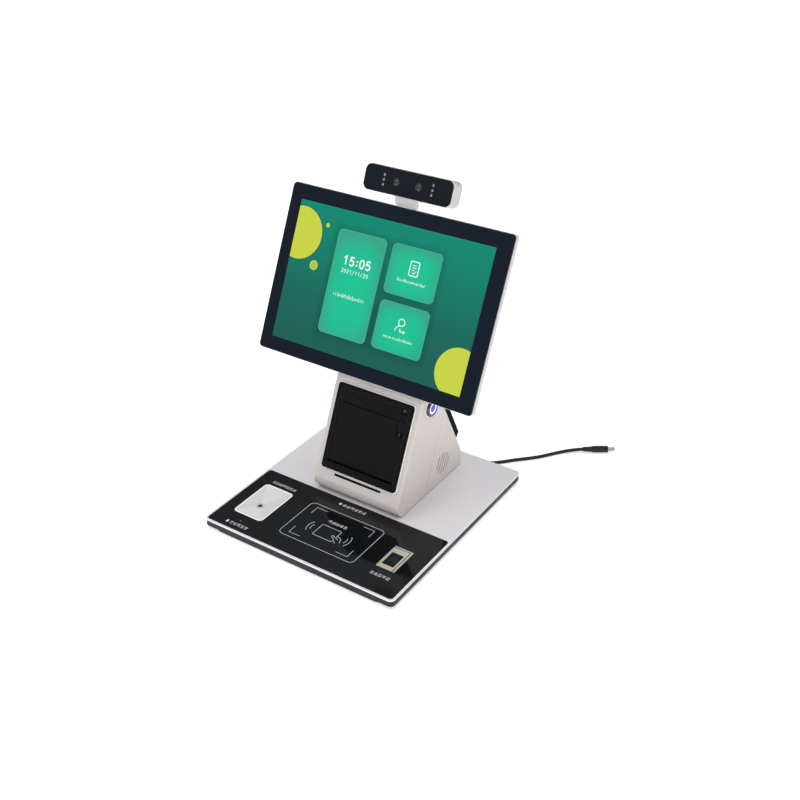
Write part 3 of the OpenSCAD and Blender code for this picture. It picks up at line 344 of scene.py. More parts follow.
class Shape:
    """A mesh drawn over a face from plates, lines and turned parts."""

    def __init__(self):
        self.bm = bmesh.new()

    def plate(self, outline, low, high):
        """A flat plate between two heights over the face."""
        new_vert, new_face, count = self.bm.verts.new, self.bm.faces.new, len(outline)
        loops = [[new_vert((u, -height, v)) for u, v in outline] for height in (low, high)]
        new_face(loops[0])
        new_face(loops[1])
        for i in range(count):
            j = (i + 1) % count
            new_face((loops[0][i], loops[0][j], loops[1][j], loops[1][i]))
        return self

    def line(self, points, width, low, high, closed=False):
        """A flat line of one width along the points, with mitred corners."""
        count = len(points)
        sides = []
        for i in range(count):
            here = Vector(points[i])
            before = Vector(points[i - 1]) if (closed or i) else None
            after = Vector(points[(i + 1) % count]) if (closed or i < count - 1) else None
            first = (after - here if before is None else here - before).normalized()
            second = first if after is None else (after - here).normalized()
            across = Vector((-(first + second).y, (first + second).x)).normalized()
            reach = width / 2 / max(0.4, across.dot(Vector((-first.y, first.x))))
            sides.append([
                self.bm.verts.new((here.x + s * across.x * reach, -height,
                                   here.y + s * across.y * reach))
                for s in (-1, 1)
                for height in (low, high)
            ])
        for a, b in zip(sides, sides[1:] + sides[:1] if closed else sides[1:]):
            for i, j in ((0, 1), (1, 3), (3, 2), (2, 0)):
                self.bm.faces.new((a[i], a[j], b[j], b[i]))
        if not closed:
            for end in (sides[0], sides[-1]):
                self.bm.faces.new((end[0], end[1], end[3], end[2]))
        return self

    def loop(self, points, width, low, high):
        """A line that ends where it starts."""
        return self.line(points, width, low, high, closed=True)

    def turned(self, centre, profile, steps=48):
        """A turned shape on the face's normal: profile lists (radius, height) from axis to axis."""
        rings = []
        for radius, height in profile:
            ring = disc(*centre, radius, 1 if radius < 1e-6 else steps)
            rings.append([self.bm.verts.new((u, -height, v)) for u, v in ring])
        for a, b in zip(rings, rings[1:]):
            for i in range(steps):
                j = (i + 1) % steps
                corners = [a[i % len(a)], a[j % len(a)], b[j % len(b)], b[i % len(b)]]
                corners = [c for k, c in enumerate(corners) if c not in corners[:k]]
                if len(corners) > 2:
                    self.bm.faces.new(corners)
        return self

    def screw(self, centre, radius=2.4, height=1.1):
        """A socket-head screw."""
        self.turned(centre, [(radius * 0.45, height * 0.35), (radius * 0.5, height),
                             (radius * 0.8, height), (radius, height * 0.6), (radius, -0.1)], 28)
        return self.plate(disc(*centre, radius * 0.5, 6), 0.0, height * 0.35)

    def piece(self, name, face, material, slot=None, bevel=0.0, segments=2, replaces=()):
        """The finished piece, on the face's body, with its edges broken by bevel millimetres."""
        bmesh.ops.transform(self.bm, matrix=face.axes, verts=self.bm.verts)
        bmesh.ops.recalc_face_normals(self.bm, faces=self.bm.faces)
        mesh = bpy.data.meshes.new(name)
        self.bm.to_mesh(mesh)
        self.bm.free()
        mesh.materials.append(material)
        mesh.shade_smooth()
        mesh.set_sharp_from_angle(angle=SHARP_ANGLE)
        obj = bpy.data.objects.new(name, mesh)
        scene.collection.objects.link(obj)
        if bevel:
            modifier = obj.modifiers.new("broken_edges", "BEVEL")
            modifier.width = bevel * MM
            modifier.segments = segments
            modifier.limit_method = "ANGLE"
            modifier.angle_limit = SHARP_ANGLE
            modifier.harden_normals = True
        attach(obj, face.body)
        if replaces:
            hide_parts(*replaces)
        return obj


def softened(node, bevel, material=None):
    """The CAD node's own shape with its edges rounded, standing for the node."""
    shape = Shape()
    shape.bm.from_mesh(frame["nodes"][node].data)
    bmesh.ops.remove_doubles(shape.bm, verts=shape.bm.verts, dist=3e-5)
    bmesh.ops.dissolve_limit(
        shape.bm, angle_limit=math.radians(0.3), verts=shape.bm.verts, edges=shape.bm.edges
    )
    face = Face(Matrix.Identity(4), body_of[node], slot_of[node])
    shape.piece(node + "_finished", face, material or materials[face.slot], bevel=bevel, segments=3,
                replaces=[node])


# ---- Power cord ----

CORD_DIAMETER = 5
RELIEF_START, RELIEF_END = (-66, 159.9, 9.3), (-66, 181, 5.2)
PLUG_DIRECTION = (0.83, 0.55, 0)
INNER_ROUTE = [
    (-66, 181, 5.2), (-66, 185, 3.8), (-66, 189, 2.9), (-66, 193, 2.6),
    (-66, 200, 2.6), (-66, 207, 2.6),
]
OUTER_ROUTE = [
    (0.7, 206, 2.6), (1.4, 198, 2.6), (4, 189, 2.6), (10, 180, 2.6),
    (18, 174, 2.6), (27, 170, 2.6), (37, 167, 2.6), (48, 164.8, 2.6),
    (59, 163.8, 2.6), (70, 163.8, 2.6), (81, 165.5, 2.6), (91, 169.3, 2.6),
    (100, 176, 2.6), (109, 185, 2.6), (119, 196, 2.6), (133, 210, 2.6),
    (145, 223, 2.6), (156, 238, 2.6), (166, 251, 2.9), (175, 260, 3.7),
    (184, 267, 4.6), (190, 271, 5.2),
]
COIL_CENTRE = (-36, 209)
COIL_FIRST_R = 30.0
COIL_PITCH = 5.05
FLOOR_LAYER = 2.6


def ease(share):
    share = min(1.0, max(0.0, share))
    return share * share * (3 - 2 * share)


def coil_points(per_turn=40):
    """Two turns inwards on the floor, then out again on top of them, and down at the outside."""
    inward, climb, outward = 2.0, 0.2, 3.3
    total = inward + climb + outward
    tight_r = COIL_FIRST_R - COIL_PITCH * inward
    points = []
    for i in range(1, round(total * per_turn)):
        turn = i / per_turn
        angle = math.pi - 2 * math.pi * turn
        if turn < inward:
            radius = COIL_FIRST_R - COIL_PITCH * turn
        else:
            radius = tight_r + COIL_PITCH * max(0.0, turn - inward - climb)
        lift = ease((turn - inward) / climb) - ease((turn - total + 0.3) / 0.3)
        points.append((
            COIL_CENTRE[0] + radius * math.cos(angle),
            COIL_CENTRE[1] + radius * math.sin(angle),
            FLOOR_LAYER + COIL_PITCH * lift,
        ))
    return points


def smooth_line(points, steps=5):
    """A curve through the points, by Catmull and Rom's rule."""
    line = []
    for i in range(len(points) - 1):
        a = Vector(points[max(i - 1, 0)])
        b, c = Vector(points[i]), Vector(points[i + 1])
        d = Vector(points[min(i + 2, len(points) - 1)])
        for k in range(steps):
            t = k / steps
            line.append(0.5 * (2 * b + (c - a) * t + (2 * a - 5 * b + 4 * c - d) * t ** 2
                               + (3 * b - a - 3 * c + d) * t ** 3))
    return line + [Vector(points[-1])]


def make_cord():
    line = smooth_line(INNER_ROUTE) + [Vector(p) for p in coil_points()] + smooth_line(OUTER_ROUTE)
    curve = bpy.data.curves.new("power_cord", "CURVE")
    curve.dimensions = "3D"
    curve.bevel_depth = CORD_DIAMETER / 2 * MM
    curve.bevel_resolution = 5
    curve.use_fill_caps = True
    spline = curve.splines.new("POLY")
    spline.points.add(len(line) - 1)
    for point, place in zip(spline.points, line):
        point.co = (*(place * MM), 1)
    spline.use_smooth = True
    cord = bpy.data.objects.new("power_cord", curve)
    scene.collection.objects.link(cord)
    curve.materials.append(CORD)
    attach(cord, body_of["cord_coil"])
    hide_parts("cord_inner_run", "cord_coil", "cord_outer_run")
    length = sum((b - a).length for a, b in zip(line, line[1:])) * MM
    print("cord length", round(length, 4))
    return cord


def along(start, direction):
    """A face on the cord whose height runs from a point in a direction."""
    into = -Vector(direction).normalized()
    side_axis = into.cross(Vector((0, 0, 1))).normalized()
    turn = Matrix((side_axis, into, side_axis.cross(into))).transposed().to_4x4()
    turn.translation = Vector(start)
    return Face(Matrix.Scale(MM, 4) @ turn, body_of["dc_plug"], "cord_black")


def add_rib(shape, height, radius, width):
    """A round rib on a turned part."""
    inner = radius - 0.9
    shape.turned((0, 0), [(inner, height - width / 2), (radius, height - width / 3),
                          (radius, height + width / 3), (inner, height + width / 2)], 32)


def make_cord_fittings():
    """Ribs on the strain reliefs, rings on the plug's grip, and the plug's barrel with a black disc
    of painted shade for its bore.
    """
    relief = along(RELIEF_START, [end - start for start, end in zip(RELIEF_START, RELIEF_END)])
    plug = along(OUTER_ROUTE[-1], PLUG_DIRECTION)
    ribs, grip, lines = Shape(), Shape(), Shape()
    for i in range(7):
        add_rib(ribs, 3.4 + i * 2.4, 4.15 - i * 0.11, 1.4)
    for i in range(5):
        add_rib(grip, 2.0 + i * 2.5, 3.6 + i * 0.14, 1.5)
    for height in (15.2, 19.5, 22.5, 25.5, 28.5, 34.8):
        add_rib(grip, height, 5.05, 1.7)
    for u in (-2.6, 2.6):
        lines.line([(u, -12.2), (u, 12.2)], 0.35, SUNK, 0.12)
    barrel, tip, hole = (Shape().turned((0, 0), profile, steps) for profile, steps in (
        ([(2.9, 35.9), (2.9, 44.6), (2.6, 45.6), (1.9, 45.6), (1.7, 45.2)], 32),
        ([(2.0, 45.4), (2.0, 45.8), (1.3, 45.8), (1.2, 45.4)], 32),
        ([(0, 45.55), (1.3, 45.6), (1.35, 45.3)], 24),
    ))
    return [
        ribs.piece("cord_gland_ribs", relief, RUBBER),
        grip.piece("dc_plug_ribs", plug, RUBBER),
        barrel.piece("dc_plug_sleeve", plug, STEEL, "steel"),
        tip.piece("dc_plug_insulator", plug, surface("plug_insulator", "#C9A63A", 0.4)),
        # A black disc at the barrel's end, painted shade standing for the bore.
        hole.piece("dc_plug_bore_shade", plug, RIM_BLACK),
        lines.piece("cord_tie_stitches", face_on("cord_tie", UP),
                    surface("tie_stitch", "#3A3B40", 0.8), "cord_black"),
    ]


cord = make_cord()
([frame["nodes"][n] for n in ("dc_plug", "cord_tie", "cord_gland")]
    + make_cord_fittings())


# ---- Casings with rounded edges ----

for node, bevel in {
    "base_cover": 0.8, "base_tray": 0.7, "bottom_plate": 0.5, "front_panel": 0.25,
    "scanner_window_rim": 0.3, "fingerprint_bezel": 0.3, "pedestal_casing": 0.5,
    "rear_cover": 0.5, "card_slot_bezel": 0.3, "printer_frame": 0.5, "printer_door": 0.4,
    "door_latch": 0.4, "feed_button": 0.4, "neck_column": 1.2, "hinge_leaf": 0.6,
    "display_casing": 1.0, "display_glass": 0.5, "camera_bracket": 0.6, "camera_casing": 1.6,
    "camera_face": 0.4, "power_button_bezel": 0.4, "rubber_feet": 0.5, "speaker": 0.3,
    "paper_bucket": 0.4, "print_head": 0.3, "feed_motor": 0.4, "card_slot_reader": 0.4,
    "scanner_module": 0.3, "fingerprint_module": 0.2, "camera_lenses": 0.3,
}.items():
    # The scanner window's rim takes the glowing white, as a painted highlight.
    softened(node, bevel, material=HIGHLIGHT_WHITE if node == "scanner_window_rim" else None)


# ---- Faces that details sit on ----

MID_V_OF_PRINTER = 98.3
FRAME_PROUD = 2.4
DOOR_SUNK = 0.4
glass = face_on("display_glass", FRONT)
lens_bar = face_on("camera_face", FRONT)
printer_face = face_on("printer_frame", FRONT).moved(v=-MID_V_OF_PRINTER)
slant = printer_face.moved(height=-FRAME_PROUD)
door_face = printer_face.moved(height=-DOOR_SUNK)
door_face.body = body_of["printer_door"]
panel = face_on("front_panel", UP, centred=False)
base_top = face_on("base_cover", UP, centred=False)
side = face_on("pedestal_casing", RIGHT, centred=False)
rear_slope = face_on("rear_cover", (0, 1, 0.5))
display_back = face_on("display_casing", DISPLAY_REAR)
underside = face_on("bottom_plate", DOWN, centred=False)


# ---- What the screen shows ----

SCREEN = (-145.2, 142.0, -91.3, 90.3)
CARDS = ((-77.8, -4.6, -66.8, 67.0), (4.4, 76.8, 4.5, 66.8), (5.0, 77.6, -66.0, -4.2))
CARD_R = 6.5
SHADE_INSET, SHADE_DROP = 4, 1.5


def screen_picture():
    """The lit background: a gradient up the screen, darker round each card."""
    u0, u1, v0, v1 = SCREEN
    material, tree, shader = new_material("screen_background")
    where = place_on(tree)
    spot = maths(tree, "ADD", maths(tree, "MULTIPLY", where, (u1 - u0, 0, v1 - v0)), (u0, 0, v0))
    height = add_node(tree, "ShaderNodeSeparateXYZ", Vector=where).outputs["Z"]
    stops = ((0, "#1B5F52"), (0.35, "#17685A"), (0.7, "#0F7D69"), (1, "#0B8970"))
    colour = fade(tree, height, stops)
    for a, b, c, d in CARDS:
        away = maths(tree, "SUBTRACT", spot, ((a + b) / 2, 0, (c + d) / 2 - SHADE_DROP))
        away = maths(tree, "ABSOLUTE", away)
        half = ((b - a) / 2 - SHADE_INSET, 0, (d - c) / 2 - SHADE_INSET)
        away = maths(tree, "MAXIMUM", maths(tree, "SUBTRACT", away, half), (0, 0, 0))
        reach = maths(tree, "LENGTH", away)
        shade = add_node(tree, "ShaderNodeMapRange", Value=reach, in_1=3.0, in_2=14.0, in_3=0.74,
                         in_4=1.0)
        colour = add_node(tree, "ShaderNodeVectorMath", operation="SCALE", in_0=colour,
                          Scale=shade.outputs["Result"]).outputs[0]
    light_up(tree, shader, colour)
    return material


def card_picture():
    """A lit card, brightest at its middle and greyer at its edges and its top."""
    material, tree, shader = new_material("screen_card")
    middle = maths(tree, "SUBTRACT", place_on(tree), (0.5, 0.5, 0.46))
    parts = add_node(tree, "ShaderNodeSeparateXYZ", Vector=middle)
    terms = []
    for axis in ("X", "Z"):
        size = maths(tree, "ABSOLUTE", parts.outputs[axis], kind="ShaderNodeMath")
        doubled = maths(tree, "MULTIPLY", size, 1.95, kind="ShaderNodeMath")
        terms.append(maths(tree, "POWER", doubled, 3.6, kind="ShaderNodeMath"))
    edge = maths(tree, "ADD", *terms, kind="ShaderNodeMath")
    light_up(tree, shader, fade(tree, edge, ((0, "#1CC294"), (0.45, "#24B78E"), (1, "#3BA486"))))
    return material


def clipped(outline):
    """The part of an outline that lies inside the screen."""
    for axis, limit, sign in zip((0, 0, 1, 1), SCREEN, (1, -1, 1, -1)):
        kept = []
        for i, here in enumerate(outline):
            before = outline[i - 1]
            inside = [(p[axis] - limit) * sign >= 0 for p in (before, here)]
            if inside[0] != inside[1]:
                t = (limit - before[axis]) / (here[axis] - before[axis])
                kept.append(tuple(before[k] + (here[k] - before[k]) * t for k in (0, 1)))
            if inside[1]:
                kept.append(here)
        outline = kept
    return outline


def glyph(char):
    """The strokes of a numeral in a cell one unit wide and one high."""
    def bow(cu, cv, ru, rv, first, last):
        return [(cu + ru * math.cos(math.radians(a)), cv + rv * math.sin(math.radians(a)))
                for a in range(first, last, -12 if last < first else 12)]
    return {
        "0": [bow(0.5, 0.5, 0.36, 0.46, 90, -260) + [(0.5, 0.96)]],
        "1": [[(0.2, 0.76), (0.55, 0.96), (0.55, 0.04)]],
        "2": [bow(0.48, 0.68, 0.34, 0.28, 170, -40) + [(0.14, 0.04), (0.88, 0.04)]],
        "5": [[(0.82, 0.96), (0.24, 0.96), (0.17, 0.54)] + bow(0.46, 0.33, 0.36, 0.29, 125, -160)],
        "/": [[(0.1, -0.1), (0.8, 1.05)]],
    }[char]


def add_number(shape, text, u0, v0, width, height, stroke, gap, layer):
    """Numerals in a row; a colon is two dots."""
    for char in text:
        if char == ":":
            for share in (0.22, 0.66):
                shape.plate(disc(u0 + stroke, v0 + height * share, stroke * 0.62, 16), *layer)
            u0 += 2 * stroke + gap
            continue
        for line in glyph(char):
            shape.line([(u0 + x * width, v0 + y * height) for x, y in line], stroke, *layer)
        u0 += width + gap


def add_marks(shape, u, end, v, height, stroke, layer, rng):
    """A row of plain strokes that stands for a line of small print."""
    while u < end:
        tall = rng.random() < 0.3
        top = height if tall else height * 0.66
        shape.line([(u, v - height / 2), (u, v - height / 2 + top)], stroke, *layer)
        if rng.random() < 0.55:
            level = v - height / 2 + rng.choice((0.08, 0.36, 0.6)) * height
            shape.line([(u, level), (u + height * 0.42, level)], stroke, *layer)
        u += height * (0.42 if rng.random() < 0.75 else 0.62)


def add_blocks(shape, u0, v, size, count, stroke, layer, rng):
    """A row of square marks, each of a few crossed strokes, that stands for a printed label."""
    for i in range(count):
        u = u0 + i * size * 1.2
        half = size / 2
        for level in rng.sample((-0.44, -0.16, 0.14, 0.44), 3):
            inset = rng.choice((0.0, 0.1)) * size
            row = v + level * size
            shape.line([(u + inset, row), (u + size - inset, row)], stroke, *layer)
        upright = u + rng.choice((0.3, 0.5)) * size
        shape.line([(upright, v - half), (upright, v + half)], stroke, *layer)
        foot = v - half * rng.choice((0.3, 1))
        shape.line([(u + 0.84 * size, foot), (u + 0.84 * size, v + half)], stroke, *layer)


def build_screen():
    Shape().plate(rectangle(*SCREEN), SUNK, 0.05).piece(
        "screen_background", glass, screen_picture())
    rims, fills = Shape(), Shape()
    circles = ((-136.6, 48.4, 34.2), (-96.6, 66, 2.9), (-105, 12.1, 6.3), (131.9, -65.6, 31.4))
    for u, v, r in circles:
        rims.plate(clipped(disc(u, v, r + 1.1)), 0.04, 0.07)
        fills.plate(clipped(disc(u, v, r)), 0.06, 0.10)
    middles = Shape().plate(disc(-105, 12.1, 4.6), 0.09, 0.12)
    edges = Shape()
    for i, (a, b, c, d) in enumerate(CARDS):
        middle = ((a + b) / 2, (c + d) / 2)
        card = Shape().plate(rounded(b - a, d - c, CARD_R, middle), 0.04, 0.08)
        card.piece(f"screen_card_{i + 1}", glass, card_picture())
        for inset, width in ((0.8, 0.8), (5, 0.35)):
            outline = rounded(b - a - inset, d - c - inset, CARD_R - inset / 2, middle)
            edges.loop(outline, width, 0.07, 0.1)
    rng = random.Random(5)
    layer = (0.09, 0.14)
    marks = Shape()
    add_number(marks, "15:05", -62.6, 23.6, 8.2, 11.4, 1.9, 1.5, layer)
    add_number(marks, "2021/11/25", -62.4, 13.9, 3.5, 4.8, 0.6, 0.7, layer)
    add_marks(marks, -65.5, -18, -14.6, 5.2, 0.6, layer, rng)
    add_marks(marks, 20.8, 60.5, 24.4, 3.9, 0.5, layer, rng)
    add_marks(marks, 20, 63, -47, 3.9, 0.5, layer, rng)
    marks.loop(rounded(12.4, 17.6, 1.6, (41, 41)), 1.3, *layer)
    for v, a, b in ((45.2, 38, 43.2), (42.2, 38, 44), (39.2, 38, 42)):
        marks.line([(a, v), (b, v)], 0.9, *layer)
    marks.line([(39.4, 36.4), (41.2, 34.9), (44.6, 38.6)], 0.9, *layer)
    marks.loop(disc(41.4, -26.2, 4.4, 32), 1.2, *layer)
    marks.line(disc(42.4, -38.6, 8.6, 12, math.radians(172), math.radians(98)), 1.2, *layer)
    marks.line([(41, -33.6), (41, -37.2), (48.4, -37.2)], 1.2, *layer)
    marks.line([(46, -35.4), (48.4, -37.2), (46, -39)], 0.9, *layer)
    for name, shape, colour in (
        ("screen_circle_rims", rims, "#0A6C60"), ("screen_circles", fills, "#C9D645"),
        ("screen_circle_middle", middles, "#A9CC4A"), ("screen_card_edges", edges, "#3DB596"),
        ("screen_marks", marks, "#F2FFFB"),
    ):
        shape.piece(name, glass, glow(name, colour))


build_screen()


# ---- Printing on the black panel ----

def build_panel_print():
    layer = (-0.04, 0.05)
    print_marks = Shape().loop(rounded(117.5, 75, 6.5, (8.7, -90.5)), 0.95, *layer)
    for su, sv in CORNERS:
        u, v = 8.5 + su * 46.2, -90 + sv * 30.4
        print_marks.line([(u - su * 17.5, v), (u, v), (u, v - sv * 14)], 0.85, *layer)
    card = rounded(30.5, 23.3, 1.6, (5.4, -96))
    print_marks.line([(20.65, -98.4)] + card + [(20.65, -104.2)], 0.95, *layer)
    middle, spread = 8.0, math.radians(36)
    for vertex, reach in ((33, 17), (28, 9)):
        wave = disc(middle - vertex + reach, -96, reach, 12, math.pi - spread, math.pi + spread)
        print_marks.line(wave, 1.0, *layer)
        print_marks.line([(2 * middle - u, v) for u, v in wave], 1.0, *layer)
    finger = [(26, -108), (21.4, -104.2), (20.2, -102), (14.7, -98.8), (14.2, -96.8), (15.6, -95.9),
              (20.8, -98.4), (25.6, -100.2)]
    knuckles = [(20.7, -94), (28.2, -96.8), (30.8, -104.4)]
    for line in (finger, knuckles):
        print_marks.line(line, 0.85, *layer)
    print_marks.piece("card_zone_print", panel, INK)
    rng = random.Random(11)
    labels = Shape()
    for u, v, size, count, stroke in (
        (-7.6, -74.6, 5.0, 5, 0.62), (-12.4, -36.2, 5.2, 6, 0.62), (-124, -46.2, 4.8, 7, 0.6),
        (-114.6, -146.2, 4.9, 5, 0.6), (95, -127.2, 4.9, 5, 0.6),
    ):
        add_blocks(labels, u, v, size, count, stroke, layer, rng)
    labels.plate([(-19.8, -36.2), (-17, -39.2), (-14.4, -36.2), (-17, -33.2)], *layer)
    labels.plate([(-121.4, -146.8), (-119.4, -149.6), (-117.2, -146.8), (-119.2, -142.6)], *layer)
    labels.piece("panel_labels", panel, LABEL_INK)


build_panel_print()


# ---- Scanner window, fingerprint reader and microphone ----

def build_scanner():
    window = face_on("scanner_window", UP, centred=False)
    lens, lens_hole_r = (-104, -98.4), 6.2
    corners = [Vector((-105 + su * 22.0, -89.5 + sv * 33.4))
               for su, sv in ((1, 1), (-1, 1), (-1, -1), (1, -1))]
    # The facets are flat: the front and back ones are painted lighter and the side ones darker, as
    # painted light and shade.
    for name, tone, pairs in (("light", "#ECECEB", ((0, 1), (2, 3))),
                              ("shaded", "#E3E3E3", ((1, 2), (3, 0)))):
        facets = Shape()
        for i, j in pairs:
            a, b = corners[i], corners[j]
            start = math.atan2(a.y - lens[1], a.x - lens[0])
            turn = (math.atan2(b.y - lens[1], b.x - lens[0]) - start) % (2 * math.pi)
            arc = disc(*lens, lens_hole_r, 10, start, start + turn)
            facets.plate([tuple(a)] + arc + [tuple(b)], SUNK, 0.06)
        look = surface(f"window_facet_{name}", tone, 0.34, tone=0.012, grain=0.003)
        facets.piece(f"scanner_window_facets_{name}", window, look, bevel=0.05)
    collar = [(3.0, -0.9), (3.1, 0.15), (3.9, 0.35), (5.4, 0.3), (6.1, 0.1), (6.1, -0.02)]
    Shape().turned(lens, collar).piece(
        "scanner_lens_collar", window, surface("lens_collar", "#D2D2D1", 0.35, tone=0.03))
    Shape().turned(lens, [(2.55, -0.4), (2.7, 0.2), (3.1, 0.24), (3.2, 0.1)], 32).piece(
        "scanner_lens_ring", window, RIM_BLACK)
    dome = [(0, -0.25), (1.2, -0.32), (2.3, -0.6), (3.0, -0.95), (3.0, -1.4), (0, -1.4)]
    Shape().turned(lens, dome).piece("scanner_lens", window, LENS_COAT, "lens_glass")


def build_fingerprint_reader():
    bezel = face_on("fingerprint_bezel", UP, centred=False)
    left, right, front, back = 93.9, 121.1, -113.6, -69.4
    edge = back - 2.6
    Shape().line([(left, edge), (right - 2.9, edge), (right - 2.9, front)], 1.1, SUNK, 0.06).piece(
        "reader_grooves", bezel, surface("groove_shade", "#1E1A18", 0.7, specular=0.1))
    strips = Shape()
    strips.plate(rectangle(left + 0.3, right - 0.3, back - 2.0, back - 0.3), SUNK, 0.1)
    strips.plate(rectangle(right - 2.2, right - 0.3, front + 0.3, edge), SUNK, 0.1)
    strips.piece("reader_bright_strips", bezel,
                 surface("bright_edge", "#D6D6DC", 0.25, metallic=0.2, tone=0.03), bevel=0.06)
    sensor = face_on("fingerprint_window", UP, centred=False)
    Shape().loop(rounded(16.9, 24.7, 0.7, (106.2, -94)), 0.5, SUNK, 0.7).piece(
        "reader_prism_frame", sensor, MATT, bevel=0.15)
    guide = Shape()
    for i in range(5):
        arch = [(106.2 + (1.5 + 1.15 * i) * math.cos(math.radians(a)),
                 -95 + (2.3 + 1.5 * i) * math.sin(math.radians(a))) for a in range(-30, 211, 12)]
        guide.line(arch, 0.22, -0.02, 0.03)
    guide.piece("reader_finger_guide", sensor, surface("finger_guide", "#3E4044", 0.3))
    port = [(0.75, -0.6), (0.8, 0.04), (1.25, 0.06), (1.35, -0.02)]
    Shape().turned((-104.3, -137.4), port, 24).piece("microphone_ring", panel, STEEL, "steel")


build_scanner()
build_fingerprint_reader()


# ---- Printer ----

def build_printer_front():
    Shape().loop(rounded(106.6, 102.4, 3.0, (-0.2, 100)), 0.5, SUNK, 0.06).piece(
        "printer_bezel_line", printer_face, surface("line_shade", "#0C0C0D", 0.6))
    Shape().loop(rounded(116.6, 116.0, 3.4, (0, MID_V_OF_PRINTER)), 2.2, SUNK, 0.4).piece(
        "printer_bezel_rim", printer_face, RIM_BLACK, bevel=0.2)
    Shape().plate(rounded(106, 4.2, 1.2, (0, 44.6)), SUNK, 0.4).piece(
        "printer_bezel_lip", printer_face, PRINTER, bevel=0.3)
    # A white line round the printer's opening, a painted highlight on the recess edge.
    Shape().loop(rounded(119.8, 119.2, 5.0, (0, MID_V_OF_PRINTER)), 1.5, SUNK, 0.35).piece(
        "printer_opening_edge", slant, HIGHLIGHT_WHITE, "warm_white", bevel=0.15)
    # A black sheet down inside the gap under the door, painted shade of the gap.
    Shape().plate(rounded(104, 7.5, 0.5, (0, 47.75)), -11.4, -10.6).piece(
        "printer_gap_liner", slant, RIM_BLACK)
    strip = rounded(10.2, 13.6, 0.8, (46.7, 126.3))
    Shape().plate(strip, SUNK, 0.14).piece(
        "printer_control_strip", printer_face,
        surface("control_strip", "#141416", 0.28, tone=0.05, specular=0.3), bevel=0.05)
    lines = Shape().loop(strip, 0.5, 0.05, 0.2)
    lines.line([(42.6, 143.4), (50.8, 143.4)], 0.8, SUNK, 0.08)
    lines.line([(48.4, 142.6), (50.6, 140.8)], 0.7, SUNK, 0.08)
    lines.plate(rounded(4.2, 2.6, 0.8, (46.4, 135.9)), SUNK, 0.12)
    lines.piece("printer_control_lines", printer_face, RIM_BLACK)
    lenses = Shape()
    for v in (135.8, 141.6):
        lenses.turned((46.6, v), [(0, 0.42), (0.6, 0.34), (0.98, -0.1), (0.98, -0.4)], 20)
    lenses.piece("printer_led_lenses", printer_face, SMOKED, "indicator")


def build_printer_controls():
    ring = Shape().turned(
        (0, 0), [(0, 0.02), (1.3, 0.03), (1.6, 0.22), (2.3, 0.22), (2.6, 0.0), (2.6, -0.3)], 40)
    for v in (0.5, -0.9):
        ring.plate([(-0.7, v - 0.2), (0.7, v - 0.2), (0, v + 0.7)], 0.0, 0.14)
    ring.piece("feed_button_ring", face_on("feed_button", FRONT),
               surface("button_grey", "#3A3B3E", 0.5, tone=0.05, specular=0.3))
    collar = [(3.12, -0.05), (3.2, 0.35), (4.2, 0.35), (4.6, -0.05)]
    Shape().turned((46.7, 147.6), collar, 40).piece("feed_button_collar", printer_face, RIM_BLACK)
    latch = face_on("door_latch", FRONT)
    Shape().plate(rounded(10.0, 6.6, 0.5), SUNK, 0.08).piece("latch_cap", latch, RIM_BLACK)
    Shape().plate(rounded(2.6, 5.0, 0.5, (-0.7, 0)), 0.0, 0.5).piece(
        "latch_grip", latch, surface("latch_grip", "#1A1A1C", 0.4, tone=0.06), bevel=0.15)


def build_paper_path():
    teeth, left, right, root, tip, back = 40, -44.4, 37.8, 132.5, 133.0, 131.9
    step = (right - left) / teeth
    saw = [(left, root)]
    for i in range(teeth):
        saw += [(left + step * (i + 0.5), tip), (left + step * (i + 1), root)]
    saw += [(right, back), (left, back)]
    Shape().plate(saw, SUNK, 0.1).piece("tear_edge", door_face, RIM_BLACK)
    ribs = Shape()
    for v in (53.4, 54.9, 56.4):
        ribs.line([(-30, v), (30, v)], 0.6, SUNK, 0.22)
    ribs.piece("door_grip_ribs", door_face, PRINTER, bevel=0.1)
    low, high = corners_of("print_head")
    middle = (low.x + high.x) / 2
    Shape().line([(low.x - middle + 3, 1.2), (high.x - middle - 3, 1.2)], 0.7, SUNK, 0.25).piece(
        "print_head_heater", face_on("print_head", FRONT), RIM_BLACK, "module_grey", bevel=0.05)
    # A black strip along the door's lower edge, painted shade of the gap beneath it.
    Shape().plate(rounded(103.4, 1.5, 0.4, (0, 52.1)), SUNK, 0.12).piece(
        "door_gap_shadow_strip", door_face, RIM_BLACK)
    ends = face_on("paper_roll", RIGHT)
    Shape().turned((0, 0), [(5.2, -0.4), (5.3, 0.15), (6.6, 0.15), (6.8, -0.1)]).piece(
        "paper_core", ends, surface("paper_core", "#B49A72", 0.7, tone=0.08, grain=0.04))
    layers = Shape()
    for turn in range(9):
        layers.loop(disc(0, 0, 8.2 + turn * 1.55, 48), 0.12, SUNK, 0.05)
    layers.piece("paper_layers", ends, surface("paper_shade", "#D5D3CC", 0.7, tone=0.04))


build_printer_front()
build_printer_controls()
build_paper_path()


# ---- Pedestal ----

REAR_TILT = math.radians(24.4)


